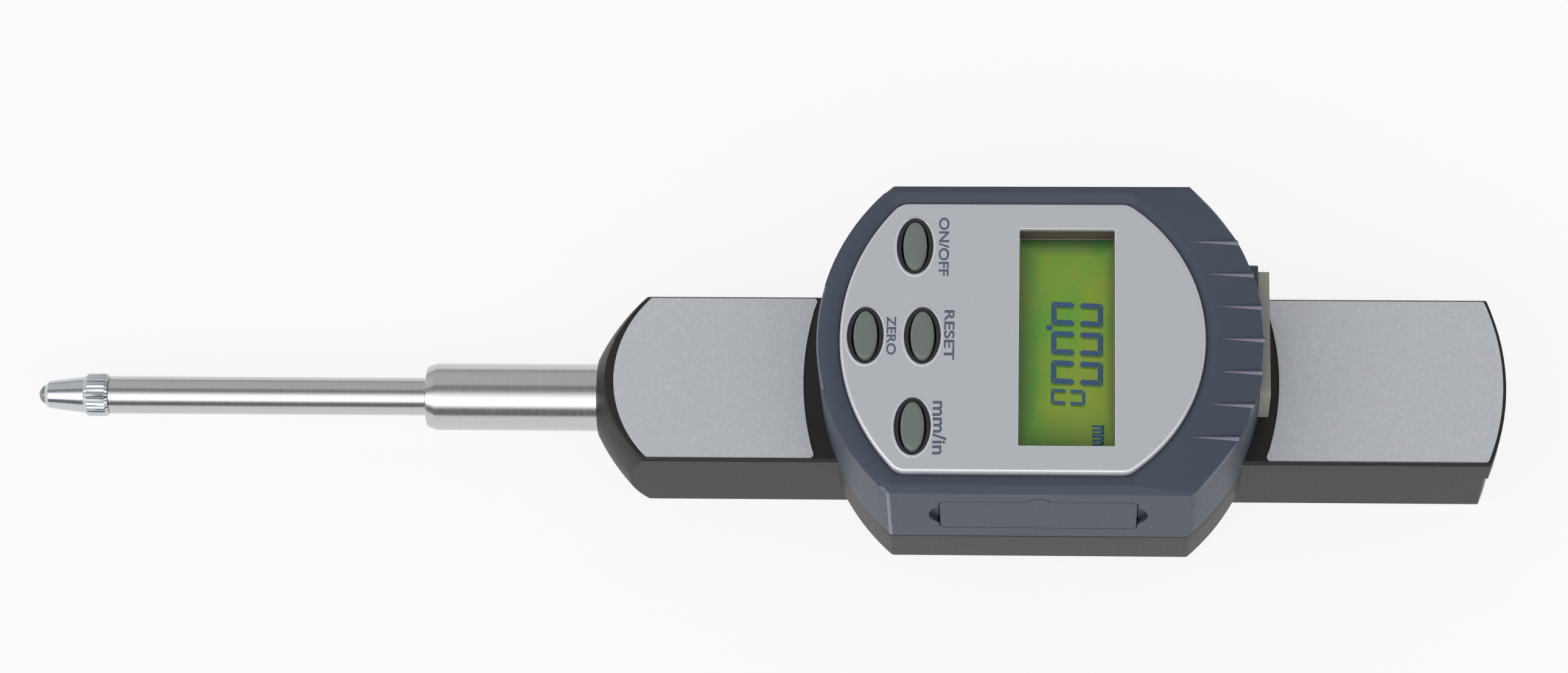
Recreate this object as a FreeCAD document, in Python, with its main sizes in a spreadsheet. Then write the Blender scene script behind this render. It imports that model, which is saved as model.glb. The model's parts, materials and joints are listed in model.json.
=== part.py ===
"""Electronic plunger indicator: a round display head clamped on a rectangular beam, with a sprung spindle.

The origin is on the spindle axis, in the beam's end face where the stem starts. X runs along the
spindle towards the head, Y runs across the beam and Z points out of the display. Millimetres.
"""
import FreeCAD, Part
import math
import os
import re
import Sketcher

DOC = FreeCAD.newDocument("plunger_indicator")

SIZES = {
    # beam: the long black bar that carries everything
    "beam_width": 21.0,
    "beam_depth": 13.2,
    "beam_length": 107.35,
    "beam_end_radius": 27.25,
    "beam_step": 0.5,
    "beam_front_layer": 4.2,
    "beam_edge": 0.3,
    "nose_face_radius": 4.6,
    "nose_length": 6.1,
    "nose_profile_radius": 24.5,
    "nose_solid": 10.5,
    "end_wall": 4.6,
    "back_wall": 2.5,
    "cavity_width": 14.0,
    "strip_width": 16.6,
    "strip_thick": 1.2,
    "strip_landing": 2.0,
    # labels on the beam's front face
    "label_thick": 0.3,
    "label_margin": 0.4,
    "left_label_start": 2.2,
    "left_label_radius": 14.24,
    "left_label_gap": 2.0,
    "left_label_end_radius": 34.75,
    "right_label_gap": 2.15,
    "right_label_start_radius": 31.0,
    # stem and its bushes
    "stem_radius": 4.0,
    "stem_length": 20.67,
    "stem_tip_radius": 3.74,
    "stem_taper": 1.1,
    "stem_round": 0.35,
    "stem_round_radius": 0.385,
    "spigot_radius": 3.6,
    "stem_bore_radius": 2.6,
    "bush_radius": 3.0,
    "bush_length": 6.0,
    "slide_gap": 0.03,
    # spindle and contact point
    "spindle_radius": 2.25,
    "spindle_reach": 38.5,
    "spindle_grip": 12.0,
    "spindle_travel": 30.0,
    "stud_radius": 1.25,
    "stud_length": 5.0,
    "point_back_bevel": 0.36,
    "collar_radius": 2.56,
    "collar_length": 2.23,
    "collar_ramp": 0.35,
    "flute_count": 24,
    "flute_half_width": 0.24,
    "flute_depth": 0.15,
    "cone_back_radius": 2.21,
    "cone_front_radius": 1.66,
    "cone_length": 4.36,
    "point_front_bevel": 0.47,
    "point_face_radius": 1.2,
    "ball_radius": 1.25,
    "ball_seat_depth": 0.43,
    # carriage inside the beam
    "carriage_gap": 1.5,
    "stop_gap": 0.25,
    "carriage_half_depth": 3.5,
    "carriage_side_gap": 0.2,
    "carriage_tail": 6.0,
    "spring_side": 3.4,
    "scale_thick": 0.6,
    "scale_end_margin": 0.5,
    "scale_half_width": 4.6,
    "scale_centre_y": 1.6,
    "read_gap": 0.4,
    "reader_length": 16.0,
    "reader_half_width": 4.0,
    "reader_shift": 4.8,
    "reader_seat_margin": 2.0,
    "reader_seat_high_margin": 3.0,
    "reader_board_gap": 0.2,
    "reader_board_sink": 0.3,
    "bumper_thick": 1.1,
    "bumper_half_width": 2.9,
    "bumper_high_side": 4.9,
    "spring_radius": 1.3,
    "spring_wire": 0.45,
    "hook_play": 0.15,
    "hook_slot_play": 0.1,
    "spring_centre_y": -5.2,
    "anchor_radius": 0.5,
    "anchor_inset": 1.6,
    "anchor_sink": 1.25,
    # head: round case with two flats
    "head_centre": 52.7,
    "head_radius": 25.9,
    "head_flat": 19.25,
    "head_wall": 2.0,
    "base_back": -1.4,
    "base_floor": 2.0,
    "parting_drop": 1.15,
    "rim_drop": 0.7,
    "crest_drop": 0.25,
    "crest_margin": 1.5,
    "cove_depth": 0.55,
    "cove_width": 1.25,
    "saddle_wall": 1.5,
    "saddle_thick": 1.2,
    "saddle_end_margin": 5.3,
    "beam_fit": 0.05,
    "rib_pitch": 4.06,
    "rib_width": 1.0,
    "rib_crown": 0.16,
    "rib_count": 7,
    "rib_drop": 0.03,
    "rib_root": 0.2,
    # face plate
    "plate_thick": 1.0,
    "bezel_left": 2.7,
    "bezel_right": 6.8,
    "bezel_side": 2.45,
    "left_arc_depth": 6.86,
    "right_arc_depth": 8.905,
    "plate_corner": 2.2,
    "plate_roll": 0.5,
    "plate_gap": 0.15,
    "deck_thick": 1.8,
    # display
    "window_inset": 10.5,
    "window_width": 11.05,
    "window_end_margin": 3.3,
    "lcd_margin": 1.5,
    "lcd_thick": 1.1,
    "light_thick": 1.8,
    "board_thick": 1.0,
    "board_edge_gap": 0.8,
    # buttons
    "button_half_width": 1.38,
    "button_half_length": 3.0,
    "ring_half_width": 2.13,
    "ring_half_length": 3.58,
    "button_play": 0.2,
    "button_proud": 0.4,
    "button_dome": 0.25,
    "flange_lip": 0.6,
    "flange_thick": 0.5,
    "flange_play": 0.1,
    "button_travel": 0.5,
    "switch_height": 1.6,
    "switch_case_height": 1.2,
    "switch_half_width": 1.75,
    "switch_stem_radius": 0.875,
    "gasket_thick": 0.6,
    "gasket_margin": 0.8,
    "gasket_end_margin": 0.3,
    "ring_root": 0.3,
    "gasket_length": 12.4,
    "ring_drop": 0.15,
    "rim_width": 0.3,
    "rim_rise": 0.12,
    "rim_bevel": 0.09,
    "outer_button_inset": 8.6,
    "outer_button_edge": 5.55,
    "left_button_inset": 3.0,
    "right_button_inset": 9.6,
    # battery drawer
    "drawer_shift": 0.12,
    "drawer_rise": 0.6,
    "drawer_height": 8.3,
    "drawer_face": 1.2,
    "drawer_gap": 0.15,
    "drawer_corner": 0.8,
    "peak_half_width": 1.35,
    "peak_height": 1.0,
    "scoop_width": 1.3,
    "scoop_depth": 0.7,
    "scoop_height": 5.6,
    "tray_side_inset": 0.6,
    "tray_wall": 0.52,
    "tray_floor": 0.8,
    "tray_rise": 3.5,
    "tray_back": 1.2,
    "cell_radius": 10.0,
    "cell_thick": 3.2,
    "cell_step": 0.9,
    "cell_cap_height": 0.45,
    "cell_gap": 0.2,
    "contact_room": 0.75,
    "contact_gap": 0.3,
    "contact_half_width": 1.5,
    "contact_half_length": 4.0,
    "rim_contact_thick": 0.4,
    # data port and its cover
    "cover_proud": 0.7,
    "cover_thick": 1.3,
    "cover_shift": 2.1,
    "cover_half_width": 7.8,
    "cover_low_lap": 1.3,
    "cover_high_lap": 3.2,
    "cover_corner": 0.6,
    "boss_margin": 0.5,
    "socket_half_width": 4.6,
    "socket_depth": 6.0,
    "socket_wall": 0.6,
    "socket_height": 3.0,
    "socket_end_wall": 1.0,
    "tongue_length": 2.6,
    "tongue_gap": 0.15,
    # fasteners
    "post_side_gap": 0.2,
    "post_round_gap": 0.72,
    "post_radius": 1.75,
    "case_screw_radius": 0.8,
    "case_screw_play": 0.2,
    "case_screw_head": 1.5,
    "case_screw_head_thick": 0.9,
    "case_screw_sink": 1.1,
    "case_screw_length": 6.5,
    "saddle_screw_inset": 3.1,
    "saddle_screw_edge": 1.1,
    "saddle_screw_radius": 0.6,
    "saddle_screw_head": 1.05,
    "saddle_screw_sink": 0.6,
    "saddle_screw_slot": 0.3,
    "saddle_screw_length": 4.5,
    "screw_hole_spare": 0.5,
    "standoff_radius": 1.3,
    "board_screw_radius": 0.6,
    "board_screw_head": 1.1,
    "board_screw_head_thick": 0.5,
    "board_screw_length": 2.6,
    "standoff_left_inset": 6.8,
    "standoff_left_y": 7.4,
    "standoff_right_inset": 6.2,
    "standoff_right_y": 8.4,
    "header_width": 8.0,
    "header_depth": 2.2,
    "header_gap": 0.5,
    # how far a cutting tool runs past a face, and how far a joined piece reaches into its neighbour
    "overcut": 1.0,
    "joint_reach": 0.1,
}

WORDS = re.compile(r"[a-z][a-z_]*[a-z]")


def make_sheet():
    """Every driving size in one spreadsheet: its name in column A, its number in column B."""
    sheet = DOC.addObject("Spreadsheet::Sheet", "sizes")
    for row, (name, number) in enumerate(SIZES.items(), start=1):
        sheet.set(f"A{row}", name)
        sheet.set(f"B{row}", str(number))
        sheet.setAlias(f"B{row}", name)
    DOC.recompute()
    return sheet


SHEET = make_sheet()


def expr(text):
    """The same expression with each size's name written as a cell of the sheet."""
    return WORDS.sub(lambda word: "sizes." + word.group() if word.group() in SIZES else word.group(), text)


def size(text):
    """The number that an expression of sizes comes to."""
    return float(SHEET.evalExpression(expr(text)))


def bind(item, settings):
    """Binds properties of an object to expressions of the sizes."""
    for name, text in settings.items():
        item.setExpression(name, expr(text))


# Levels and places that follow from the driving sizes
FRONT = "(beam_depth/2)"
BACK = "(-beam_depth/2)"
HALF_WIDTH = "(beam_width/2)"
CAVITY_END = "(beam_length-end_wall)"
CAVITY_FLOOR = "(-beam_depth/2+back_wall)"
STRIP_UNDER = "(beam_depth/2-strip_thick)"
SADDLE_TOP = "(beam_depth/2+saddle_thick)"
FLOOR_TOP = "(base_back+base_floor)"
PARTING = "(beam_depth/2-parting_drop)"
DRAWER_LOW = f"({SADDLE_TOP}+drawer_rise)"
DRAWER_HIGH = f"({DRAWER_LOW}+drawer_height)"
TRAY_LOW = f"({DRAWER_LOW}+drawer_gap)"
CELL_LOW = f"({TRAY_LOW}+tray_floor)"
CELL_TOP = f"({CELL_LOW}+cell_thick)"
BOARD_UNDER = f"({CELL_TOP}+contact_room)"
BOARD_TOP = f"({BOARD_UNDER}+board_thick)"
LCD_UNDER = f"({BOARD_TOP}+light_thick)"
DECK_UNDER = f"({LCD_UNDER}+lcd_thick)"
PLATE_BACK = f"({DECK_UNDER}+deck_thick)"
FACE_LEVEL = f"({PLATE_BACK}+plate_thick)"
RIM_LEVEL = f"({FACE_LEVEL}-rim_drop)"
CREST_LEVEL = f"({FACE_LEVEL}-crest_drop)"
INNER_RADIUS = "(head_radius-head_wall)"
INNER_FLAT = "(head_flat-head_wall)"
HEAD_LEFT = "(head_centre-head_radius)"
HEAD_RIGHT = "(head_centre+head_radius)"
PLATE_LEFT = f"({HEAD_LEFT}+bezel_left)"
PLATE_RIGHT = f"({HEAD_RIGHT}-bezel_right)"
PLATE_FLAT = "(head_flat-bezel_side)"
LEFT_ARC = f"(({PLATE_FLAT}^2+left_arc_depth^2)/(2*left_arc_depth))"
RIGHT_ARC = f"(({PLATE_FLAT}^2+right_arc_depth^2)/(2*right_arc_depth))"
WINDOW_RIGHT = f"({PLATE_RIGHT}-window_inset)"
WINDOW_LEFT = f"({WINDOW_RIGHT}-window_width)"
WINDOW_HALF = f"({PLATE_FLAT}-window_end_margin)"
OUTER_Y = f"({PLATE_FLAT}-outer_button_edge)"
SADDLE_HALF = "(head_radius-saddle_end_margin)"
SPINDLE_FRONT = "(-stem_length-spindle_reach)"
CARRIAGE_START = "(nose_solid+carriage_gap)"
CARRIAGE_END = f"({CAVITY_END}-bumper_thick-stop_gap-spindle_travel)"
CARRIAGE_SIDE = "(cavity_width/2-carriage_side_gap)"
SCALE_TOP = "(carriage_half_depth+scale_thick)"
READER_LOW = "(carriage_half_depth+scale_thick+read_gap)"
READER_X = "(head_centre+reader_shift)"
DRAWER_CENTRE = "(head_centre-drawer_shift)"
DRAWER_HALF = "(cell_radius+cell_gap+tray_wall+tray_side_inset)"
DRAWER_LEFT = f"({DRAWER_CENTRE}-{DRAWER_HALF})"
DRAWER_RIGHT = f"({DRAWER_CENTRE}+{DRAWER_HALF})"
CELL_CENTRE_Y = "(-head_flat+drawer_face+cell_gap+cell_radius)"
POST_Y = f"({INNER_FLAT}-post_radius-post_side_gap)"
POST_X = f"sqrt(({INNER_RADIUS}-post_radius-post_round_gap)^2-{POST_Y}^2)"
TRAY_END_Y = f"({CELL_CENTRE_Y}+cell_radius+cell_gap+tray_back)"
COVER_FRONT = f"({HEAD_RIGHT}+cover_proud)"
COVER_BACK = f"({COVER_FRONT}-cover_thick)"
BUTTON_FOOT = f"({DECK_UNDER}-flange_play-flange_thick)"
SOCKET_LOW = f"({BOARD_UNDER}-socket_height)"
COVER_LOW = f"({SOCKET_LOW}-cover_low_lap)"
COVER_HIGH = f"({BOARD_UNDER}+cover_high_lap)"
COVER_LEFT = "(cover_shift-cover_half_width)"
COVER_RIGHT = "(cover_shift+cover_half_width)"

BUTTONS = {
    "button_on_off": (f"{PLATE_LEFT}+outer_button_inset", OUTER_Y),
    "button_zero": (f"{PLATE_LEFT}+left_button_inset", "0"),
    "button_reset": (f"{PLATE_LEFT}+right_button_inset", "0"),
    "button_units": (f"{PLATE_LEFT}+outer_button_inset", f"-{OUTER_Y}"),
}

NODES = []


def node(item, label):
    """Names a finished piece and lists it for export."""
    item.Label = label
    NODES.append(item)
    return item


# Sketches

def sketch(owner, name, plane, level):
    """A sketch on one of the body's own origin planes, moved along the plane's normal."""
    item = owner.newObject("Sketcher::SketchObject", name)
    support = next(part for part in owner.Origin.OriginFeatures if part.Role == plane)
    item.AttachmentSupport = [(support, "")]
    item.MapMode = "FlatFace"
    bind(item, {"AttachmentOffset.Base.z": level})
    return item


def constrain(item, kind, *values, text):
    """Adds a dimension to a sketch and binds it to an expression of the sizes."""
    index = item.addConstraint(Sketcher.Constraint(kind, *values, size(text)))
    item.setExpression(f"Constraints[{index}]", expr(text))


def arc_between(start, end, radius, bulge):
    """The short arc from start to end, bulging to the right of the way it runs (out) or to the left (in)."""
    chord = end - start
    side = 1 if bulge == "out" else -1
    rise = math.sqrt(max(radius ** 2 - (chord.Length / 2) ** 2, 0))
    left = FreeCAD.Vector(-chord.y, chord.x, 0).normalize()
    centre = (start + end) / 2 + left * rise * side
    first, last = (start, end) if bulge == "out" else (end, start)
    angles = [math.atan2(point.y - centre.y, point.x - centre.x) for point in (first, last)]
    if angles[1] < angles[0]:
        angles[1] += 2 * math.pi
    return Part.ArcOfCircle(Part.Circle(centre, FreeCAD.Vector(0, 0, 1), radius), *angles)


def outline(item, corners, arcs=None):
    """A closed outline, anticlockwise. arcs gives an edge's bulge and radius by the edge's number."""
    arcs = arcs or {}
    points = [FreeCAD.Vector(size(x), size(y), 0) for x, y in corners]
    edges = []
    for number, start in enumerate(points):
        end = points[(number + 1) % len(points)]
        if number in arcs:
            bulge, radius = arcs[number]
            edge = item.addGeometry(arc_between(start, end, size(radius), bulge), False)
            ends = (1, 2) if bulge == "out" else (2, 1)
        else:
            edge = item.addGeometry(Part.LineSegment(start, end), False)
            ends = (1, 2)
        edges.append((edge, *ends))
    for number, (edge, first, last) in enumerate(edges):
        following, next_first, next_last = edges[(number + 1) % len(edges)]
        item.addConstraint(Sketcher.Constraint("Coincident", edge, last, following, next_first))
        constrain(item, "DistanceX", -1, 1, edge, first, text=corners[number][0])
        constrain(item, "DistanceY", -1, 1, edge, first, text=corners[number][1])
        if number in arcs:
            constrain(item, "Radius", edge, text=arcs[number][1])


def circle(item, x, y, radius):
    """A circle at x, y."""
    centre = FreeCAD.Vector(size(x), size(y), 0)
    edge = item.addGeometry(Part.Circle(centre, FreeCAD.Vector(0, 0, 1), size(radius)), False)
    constrain(item, "DistanceX", -1, 1, edge, 3, text=x)
    constrain(item, "DistanceY", -1, 1, edge, 3, text=y)
    constrain(item, "Radius", edge, text=radius)


def rectangle(left, right, low, high):
    """The corners of a rectangle, anticlockwise."""
    return [(left, low), (right, low), (right, high), (left, high)]


# Features of a body

def body(name):
    """A body that sketches and features are added to."""
    return DOC.addObject("PartDesign::Body", name)


def feature(owner, kind, name, profile, settings):
    """A sketch-based feature, which becomes the body's tip."""
    item = owner.newObject(f"PartDesign::{kind}", name)
    item.Profile = profile
    bind(item, settings)
    owner.Tip = item
    profile.Visibility = False
    return item


def pad(owner, name, low, high, draw, plane="XY_Plane"):
    """Material from low to high along the plane's normal, over what draw puts in the sketch."""
    profile = sketch(owner, f"{name}_sketch", plane, low)
    draw(profile)
    return feature(owner, "Pad", name, profile, {"Length": f"({high})-({low})"})


def pocket(owner, name, low, high, draw, plane="XY_Plane"):
    """A cut from high down to low along the plane's normal."""
    profile = sketch(owner, f"{name}_sketch", plane, high)
    draw(profile)
    return feature(owner, "Pocket", name, profile, {"Length": f"({high})-({low})"})


def turn(owner, name, kind, corners, arcs=None):
    """A profile of X and radius, turned about the spindle axis."""
    profile = sketch(owner, f"{name}_sketch", "XZ_Plane", "0")
    outline(profile, corners, arcs)
    item = feature(owner, kind, name, profile, {})
    item.ReferenceAxis = (profile, ["H_Axis"])
    item.Angle = 360
    return item


def pick(item, test):
    """The names of the edges that pass a test."""
    DOC.recompute()
    return [f"Edge{number}" for number, edge in enumerate(item.Shape.Edges, start=1) if test(edge)]


def stands_at(edge, axis, places, reach=0.02):
    """Whether an edge runs along an axis and stands at one of the places across it."""
    along = "xyz".index(axis)
    across = [number for number in range(3) if number != along]
    ends = [vertex.Point for vertex in edge.Vertexes]
    if len(ends) != 2 or abs(ends[0][along] - ends[1][along]) < reach:
        return False
    return all(any(math.hypot(end[across[0]] - first, end[across[1]] - second) < reach
                   for first, second in places) for end in ends)


def soften(owner, name, kind, base, edges, amount):
    """A fillet or a chamfer of the given edges."""
    item = owner.newObject(f"PartDesign::{kind}", name)
    item.Base = (base, edges)
    bind(item, {"Radius" if kind == "Fillet" else "Size": amount})
    owner.Tip = item
    return item


# Plain solids

def box(name, x, y, z):
    """A box from pairs of expressions."""
    item = DOC.addObject("Part::Box", name)
    for axis, side, (low, high) in zip("xyz", ("Length", "Width", "Height"), (x, y, z)):
        bind(item, {f"Placement.Base.{axis}": low, side: f"({high})-({low})"})
    return item


AXES = {
    "x": FreeCAD.Rotation(FreeCAD.Vector(0, 0, 1), FreeCAD.Vector(1, 0, 0)),
    "y": FreeCAD.Rotation(FreeCAD.Vector(0, 0, 1), FreeCAD.Vector(0, 1, 0)),
    "z": FreeCAD.Rotation(),
}


def place(item, axis, start):
    """Stands a solid of revolution on its start point, along an axis."""
    item.Placement = FreeCAD.Placement(FreeCAD.Vector(), AXES[axis])
    bind(item, {f"Placement.Base.{name}": text for name, text in zip("xyz", start)})
    return item


def cylinder(name, axis, start, radius, length):
    """A cylinder that starts at a point and runs along an axis."""
    item = DOC.addObject("Part::Cylinder", name)
    bind(item, {"Radius": radius, "Height": length})
    return place(item, axis, start)


def oval(name, x, y, half_width, half_length, low, high):
    """An upright prism on an ellipse whose long way is along Y."""
    edge = DOC.addObject("Part::Ellipse", f"{name}_edge")
    edge.Placement = FreeCAD.Placement(FreeCAD.Vector(), FreeCAD.Rotation(FreeCAD.Vector(0, 0, 1), 90))
    bind(edge, {"MajorRadius": half_length, "MinorRadius": half_width})
    bind(edge, {"Placement.Base.x": x, "Placement.Base.y": y, "Placement.Base.z": low})
    item = DOC.addObject("Part::Extrusion", name)
    item.Base = edge
    item.DirMode = "Custom"
    item.Dir = FreeCAD.Vector(0, 0, 1)
    item.Solid = True
    bind(item, {"LengthFwd": f"({high})-({low})"})
    return item


def fuse(name, *items):
    """Several solids as one."""
    item = DOC.addObject("Part::MultiFuse", name)
    item.Shapes = list(items)
    item.Refine = True
    return item


def group(name, *items):
    """Separate solids under one name."""
    item = DOC.addObject("Part::Compound", name)
    item.Links = list(items)
    return item


def lies_at(edge, level):
    """Whether an edge lies in the level plane at a height."""
    return all(abs(vertex.Point.z - level) < 0.01 for vertex in edge.Vertexes)


def soften_top(name, kind, base, level, amount):
    """A fillet or a chamfer of a solid's edges at a height."""
    DOC.recompute()
    height = size(level)
    width = size(amount)
    item = DOC.addObject(f"Part::{kind}", name)
    item.Base = base
    item.Edges = [(number, width, width) for number, edge in enumerate(base.Shape.Edges, start=1)
                  if lies_at(edge, height)]
    return item


def cut(name, base, *tools):
    """A solid with one or more others taken out of it."""
    item = DOC.addObject("Part::Cut", name)
    item.Base = base
    item.Tool = tools[0] if len(tools) == 1 else group(f"{name}_tools", *tools)
    return item


# Beam

def beam_outline(end):
    """The beam's plan: square at the nose and round at the far end."""
    corner = f"({end}-beam_end_radius+sqrt(beam_end_radius^2-{HALF_WIDTH}^2))"
    return rectangle("0", corner, f"-{HALF_WIDTH}", HALF_WIDTH), {1: ("out", "beam_end_radius")}


def make_beam():
    """The milled bar: nose turned about the stem, cavity open to the front, landing for the strip."""
    beam = body("beam")
    rear = beam_outline("(beam_length-beam_step)")
    pad(beam, "bar", BACK, FRONT, lambda item: outline(item, *rear))
    front = beam_outline("beam_length")
    pad(beam, "front_layer", f"{FRONT}-beam_front_layer", FRONT, lambda item: outline(item, *front))
    reach = "(beam_width/2+beam_depth/2)"
    corner_radius = "sqrt((beam_width/2)^2+(beam_depth/2)^2)"
    turned = [("0", "nose_face_radius"), ("nose_length", corner_radius), ("nose_length", reach),
              ("-overcut", reach), ("-overcut", "nose_face_radius")]
    turn(beam, "nose", "Groove", turned, {0: ("in", "nose_profile_radius")})
    turn(beam, "stem_hole", "Groove", rectangle("-overcut", "nose_solid+overcut", "0", "spigot_radius"))
    cavity = rectangle("nose_solid", CAVITY_END, "-cavity_width/2", "cavity_width/2")
    pocket(beam, "cavity", CAVITY_FLOOR, FRONT, lambda item: outline(item, cavity))
    landing = rectangle("nose_solid-strip_landing", f"{CAVITY_END}+strip_landing",
                        "-strip_width/2", "strip_width/2")
    pocket(beam, "strip_landing_cut", STRIP_UNDER, FRONT, lambda item: outline(item, landing))

    def screw_holes(item):
        for x, y in saddle_screw_places():
            circle(item, x, y, "saddle_screw_radius")

    pocket(beam, "saddle_screw_holes", f"{SADDLE_TOP}-saddle_screw_length-screw_hole_spare", FRONT,
           screw_holes)
    last = pocket(beam, "anchor_hole", f"{CAVITY_FLOOR}-anchor_sink", CAVITY_FLOOR,
                  lambda item: circle(item, "nose_solid+anchor_inset", "spring_centre_y", "anchor_radius"))
    half_width = size(HALF_WIDTH)
    half_depth = size(FRONT)

    def long_corner(edge):
        ends = [vertex.Point for vertex in edge.Vertexes]
        if len(ends) != 2 or abs(ends[0].x - ends[1].x) < half_width:
            return False
        return all(abs(abs(end.y) - half_width) < 0.01 and abs(abs(end.z) - half_depth) < 0.01
                   for end in ends)

    soften(beam, "long_edges", "Chamfer", last, pick(last, long_corner), "beam_edge")
    node(beam, "beam")


def make_cover_strip():
    """The flat strip that closes the cavity, with a window that the reader looks through."""
    strip = body("cover_strip")
    plan = rectangle("nose_solid-strip_landing", f"{CAVITY_END}+strip_landing",
                     "-strip_width/2", "strip_width/2")
    pad(strip, "strip", STRIP_UNDER, FRONT, lambda item: outline(item, plan))
    window = rectangle(f"{READER_X}-reader_length/2-beam_fit", f"{READER_X}+reader_length/2+beam_fit",
                       "scale_centre_y-reader_half_width-beam_fit",
                       "scale_centre_y+reader_half_width+beam_fit")
    pocket(strip, "reader_window", STRIP_UNDER, FRONT, lambda item: outline(item, window))
    node(strip, "cover_strip")


def make_labels():
    """The two plain satin labels on the front face."""
    half = f"({HALF_WIDTH}-label_margin)"

    def sagitta(radius):
        return f"({radius}-sqrt({radius}^2-{half}^2))"

    left_start = f"left_label_start+{sagitta('left_label_radius')}"
    left_end = f"{HEAD_LEFT}-left_label_gap+{sagitta('left_label_end_radius')}"
    left = rectangle(left_start, left_end, f"-{half}", half)
    end_radius = "(beam_end_radius-label_margin)"
    right_start = f"{HEAD_RIGHT}+right_label_gap-{sagitta('right_label_start_radius')}"
    right_end = f"beam_length-label_margin-{sagitta(end_radius)}"
    right = rectangle(right_start, right_end, f"-{half}", half)
    shapes = {
        "left_label": (left, {1: ("in", "left_label_end_radius"), 3: ("out", "left_label_radius")}),
        "right_label": (right, {1: ("out", end_radius), 3: ("in", "right_label_start_radius")}),
    }
    for name, (corners, arcs) in shapes.items():
        label = body(name)
        foil = pad(label, "foil", FRONT, f"{FRONT}+label_thick",
                   lambda item, corners=corners, arcs=arcs: outline(item, corners, arcs))
        places = [(size(x), size(y)) for x, y in corners]
        edges = pick(foil, lambda edge: stands_at(edge, "z", places))
        soften(label, "corners", "Fillet", foil, edges, "label_margin")
        node(label, name)


# Stem, spindle and contact point

def make_stem():
    """The ground clamping stem, its spigot pressed into the nose, with a bush at each end."""
    stem = body("stem")
    tip = "-stem_length"
    section = [(tip, "bush_radius"), (f"{tip}+bush_length", "bush_radius"),
               (f"{tip}+bush_length", "stem_bore_radius"),
               ("nose_solid-bush_length", "stem_bore_radius"), ("nose_solid-bush_length", "bush_radius"),
               ("nose_solid", "bush_radius"), ("nose_solid", "spigot_radius"), ("0", "spigot_radius"),
               ("0", "stem_radius"), (f"{tip}+stem_taper", "stem_radius"),
               (f"{tip}+stem_round", "stem_tip_radius"), (tip, "stem_tip_radius-stem_round")]
    turn(stem, "tube", "Revolution", section, {10: ("out", "stem_round_radius")})
    node(stem, "stem")
    starts = {"front_bush": tip, "rear_bush": "(nose_solid-bush_length)"}
    for name, start in starts.items():
        bush = body(name)
        ring = rectangle(start, f"{start}+bush_length", "spindle_radius+slide_gap", "bush_radius")
        turn(bush, "ring", "Revolution", ring)
        node(bush, name)


def make_spindle():
    """The plunger rod, threaded at the front for the contact point and gripped by the carriage."""
    rod = body("spindle")
    end = f"({CARRIAGE_START}+spindle_grip)"
    bevel = "point_back_bevel"
    section = [(f"{SPINDLE_FRONT}+stud_length", "0"), (end, "0"), (end, f"spindle_radius-{bevel}"),
               (f"{end}-{bevel}", "spindle_radius"), (SPINDLE_FRONT, "spindle_radius"),
               (SPINDLE_FRONT, "stud_radius"), (f"{SPINDLE_FRONT}+stud_length", "stud_radius")]
    turn(rod, "rod", "Revolution", section)
    node(rod, "spindle")


POINT_BACK = SPINDLE_FRONT
COLLAR_BACK = f"({POINT_BACK}-point_back_bevel)"
COLLAR_FRONT = f"({COLLAR_BACK}-collar_length)"
CONE_BACK = f"({COLLAR_FRONT}-collar_ramp)"
CONE_FRONT = f"({CONE_BACK}-cone_length)"
POINT_FACE = f"({CONE_FRONT}-point_front_bevel)"
BALL_CENTRE = f"({POINT_FACE}+ball_seat_depth)"


def make_contact_point():
    """The screw-in point: cone, fluted collar and threaded stud, with a ball held in its nose."""
    point = body("contact_point")
    seat_back = f"({BALL_CENTRE}+ball_radius)"
    seat_rim = "sqrt(ball_radius^2-ball_seat_depth^2)"
    section = [(seat_back, "0"), (f"{POINT_BACK}+stud_length", "0"),
               (f"{POINT_BACK}+stud_length", "stud_radius"), (POINT_BACK, "stud_radius"),
               (POINT_BACK, "spindle_radius"), (COLLAR_BACK, "collar_radius"),
               (COLLAR_FRONT, "collar_radius"), (CONE_BACK, "cone_back_radius"),
               (CONE_FRONT, "cone_front_radius"), (POINT_FACE, "point_face_radius"),
               (POINT_FACE, seat_rim)]
    turn(point, "turned", "Revolution", section, {10: ("in", "ball_radius")})
    flute = pocket(point, "flute", CONE_BACK, POINT_BACK,
                   lambda item: outline(item, [("collar_radius-flute_depth", "0"),
                                               ("collar_radius", "-flute_half_width"),
                                               ("collar_radius", "flute_half_width")]),
                   plane="YZ_Plane")
    flutes = point.newObject("PartDesign::PolarPattern", "flutes")
    flutes.Originals = [flute]
    flutes.Axis = (flute.Profile[0], ["N_Axis"])
    flutes.Angle = 360
    bind(flutes, {"Occurrences": "flute_count"})
    point.Tip = flutes
    node(point, "contact_point")
    ball = DOC.addObject("Part::Sphere", "ball")
    bind(ball, {"Radius": "ball_radius", "Placement.Base.x": BALL_CENTRE})
    node(ball, "contact_ball")


# Carriage, scale, spring and bumpers inside the beam

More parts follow.
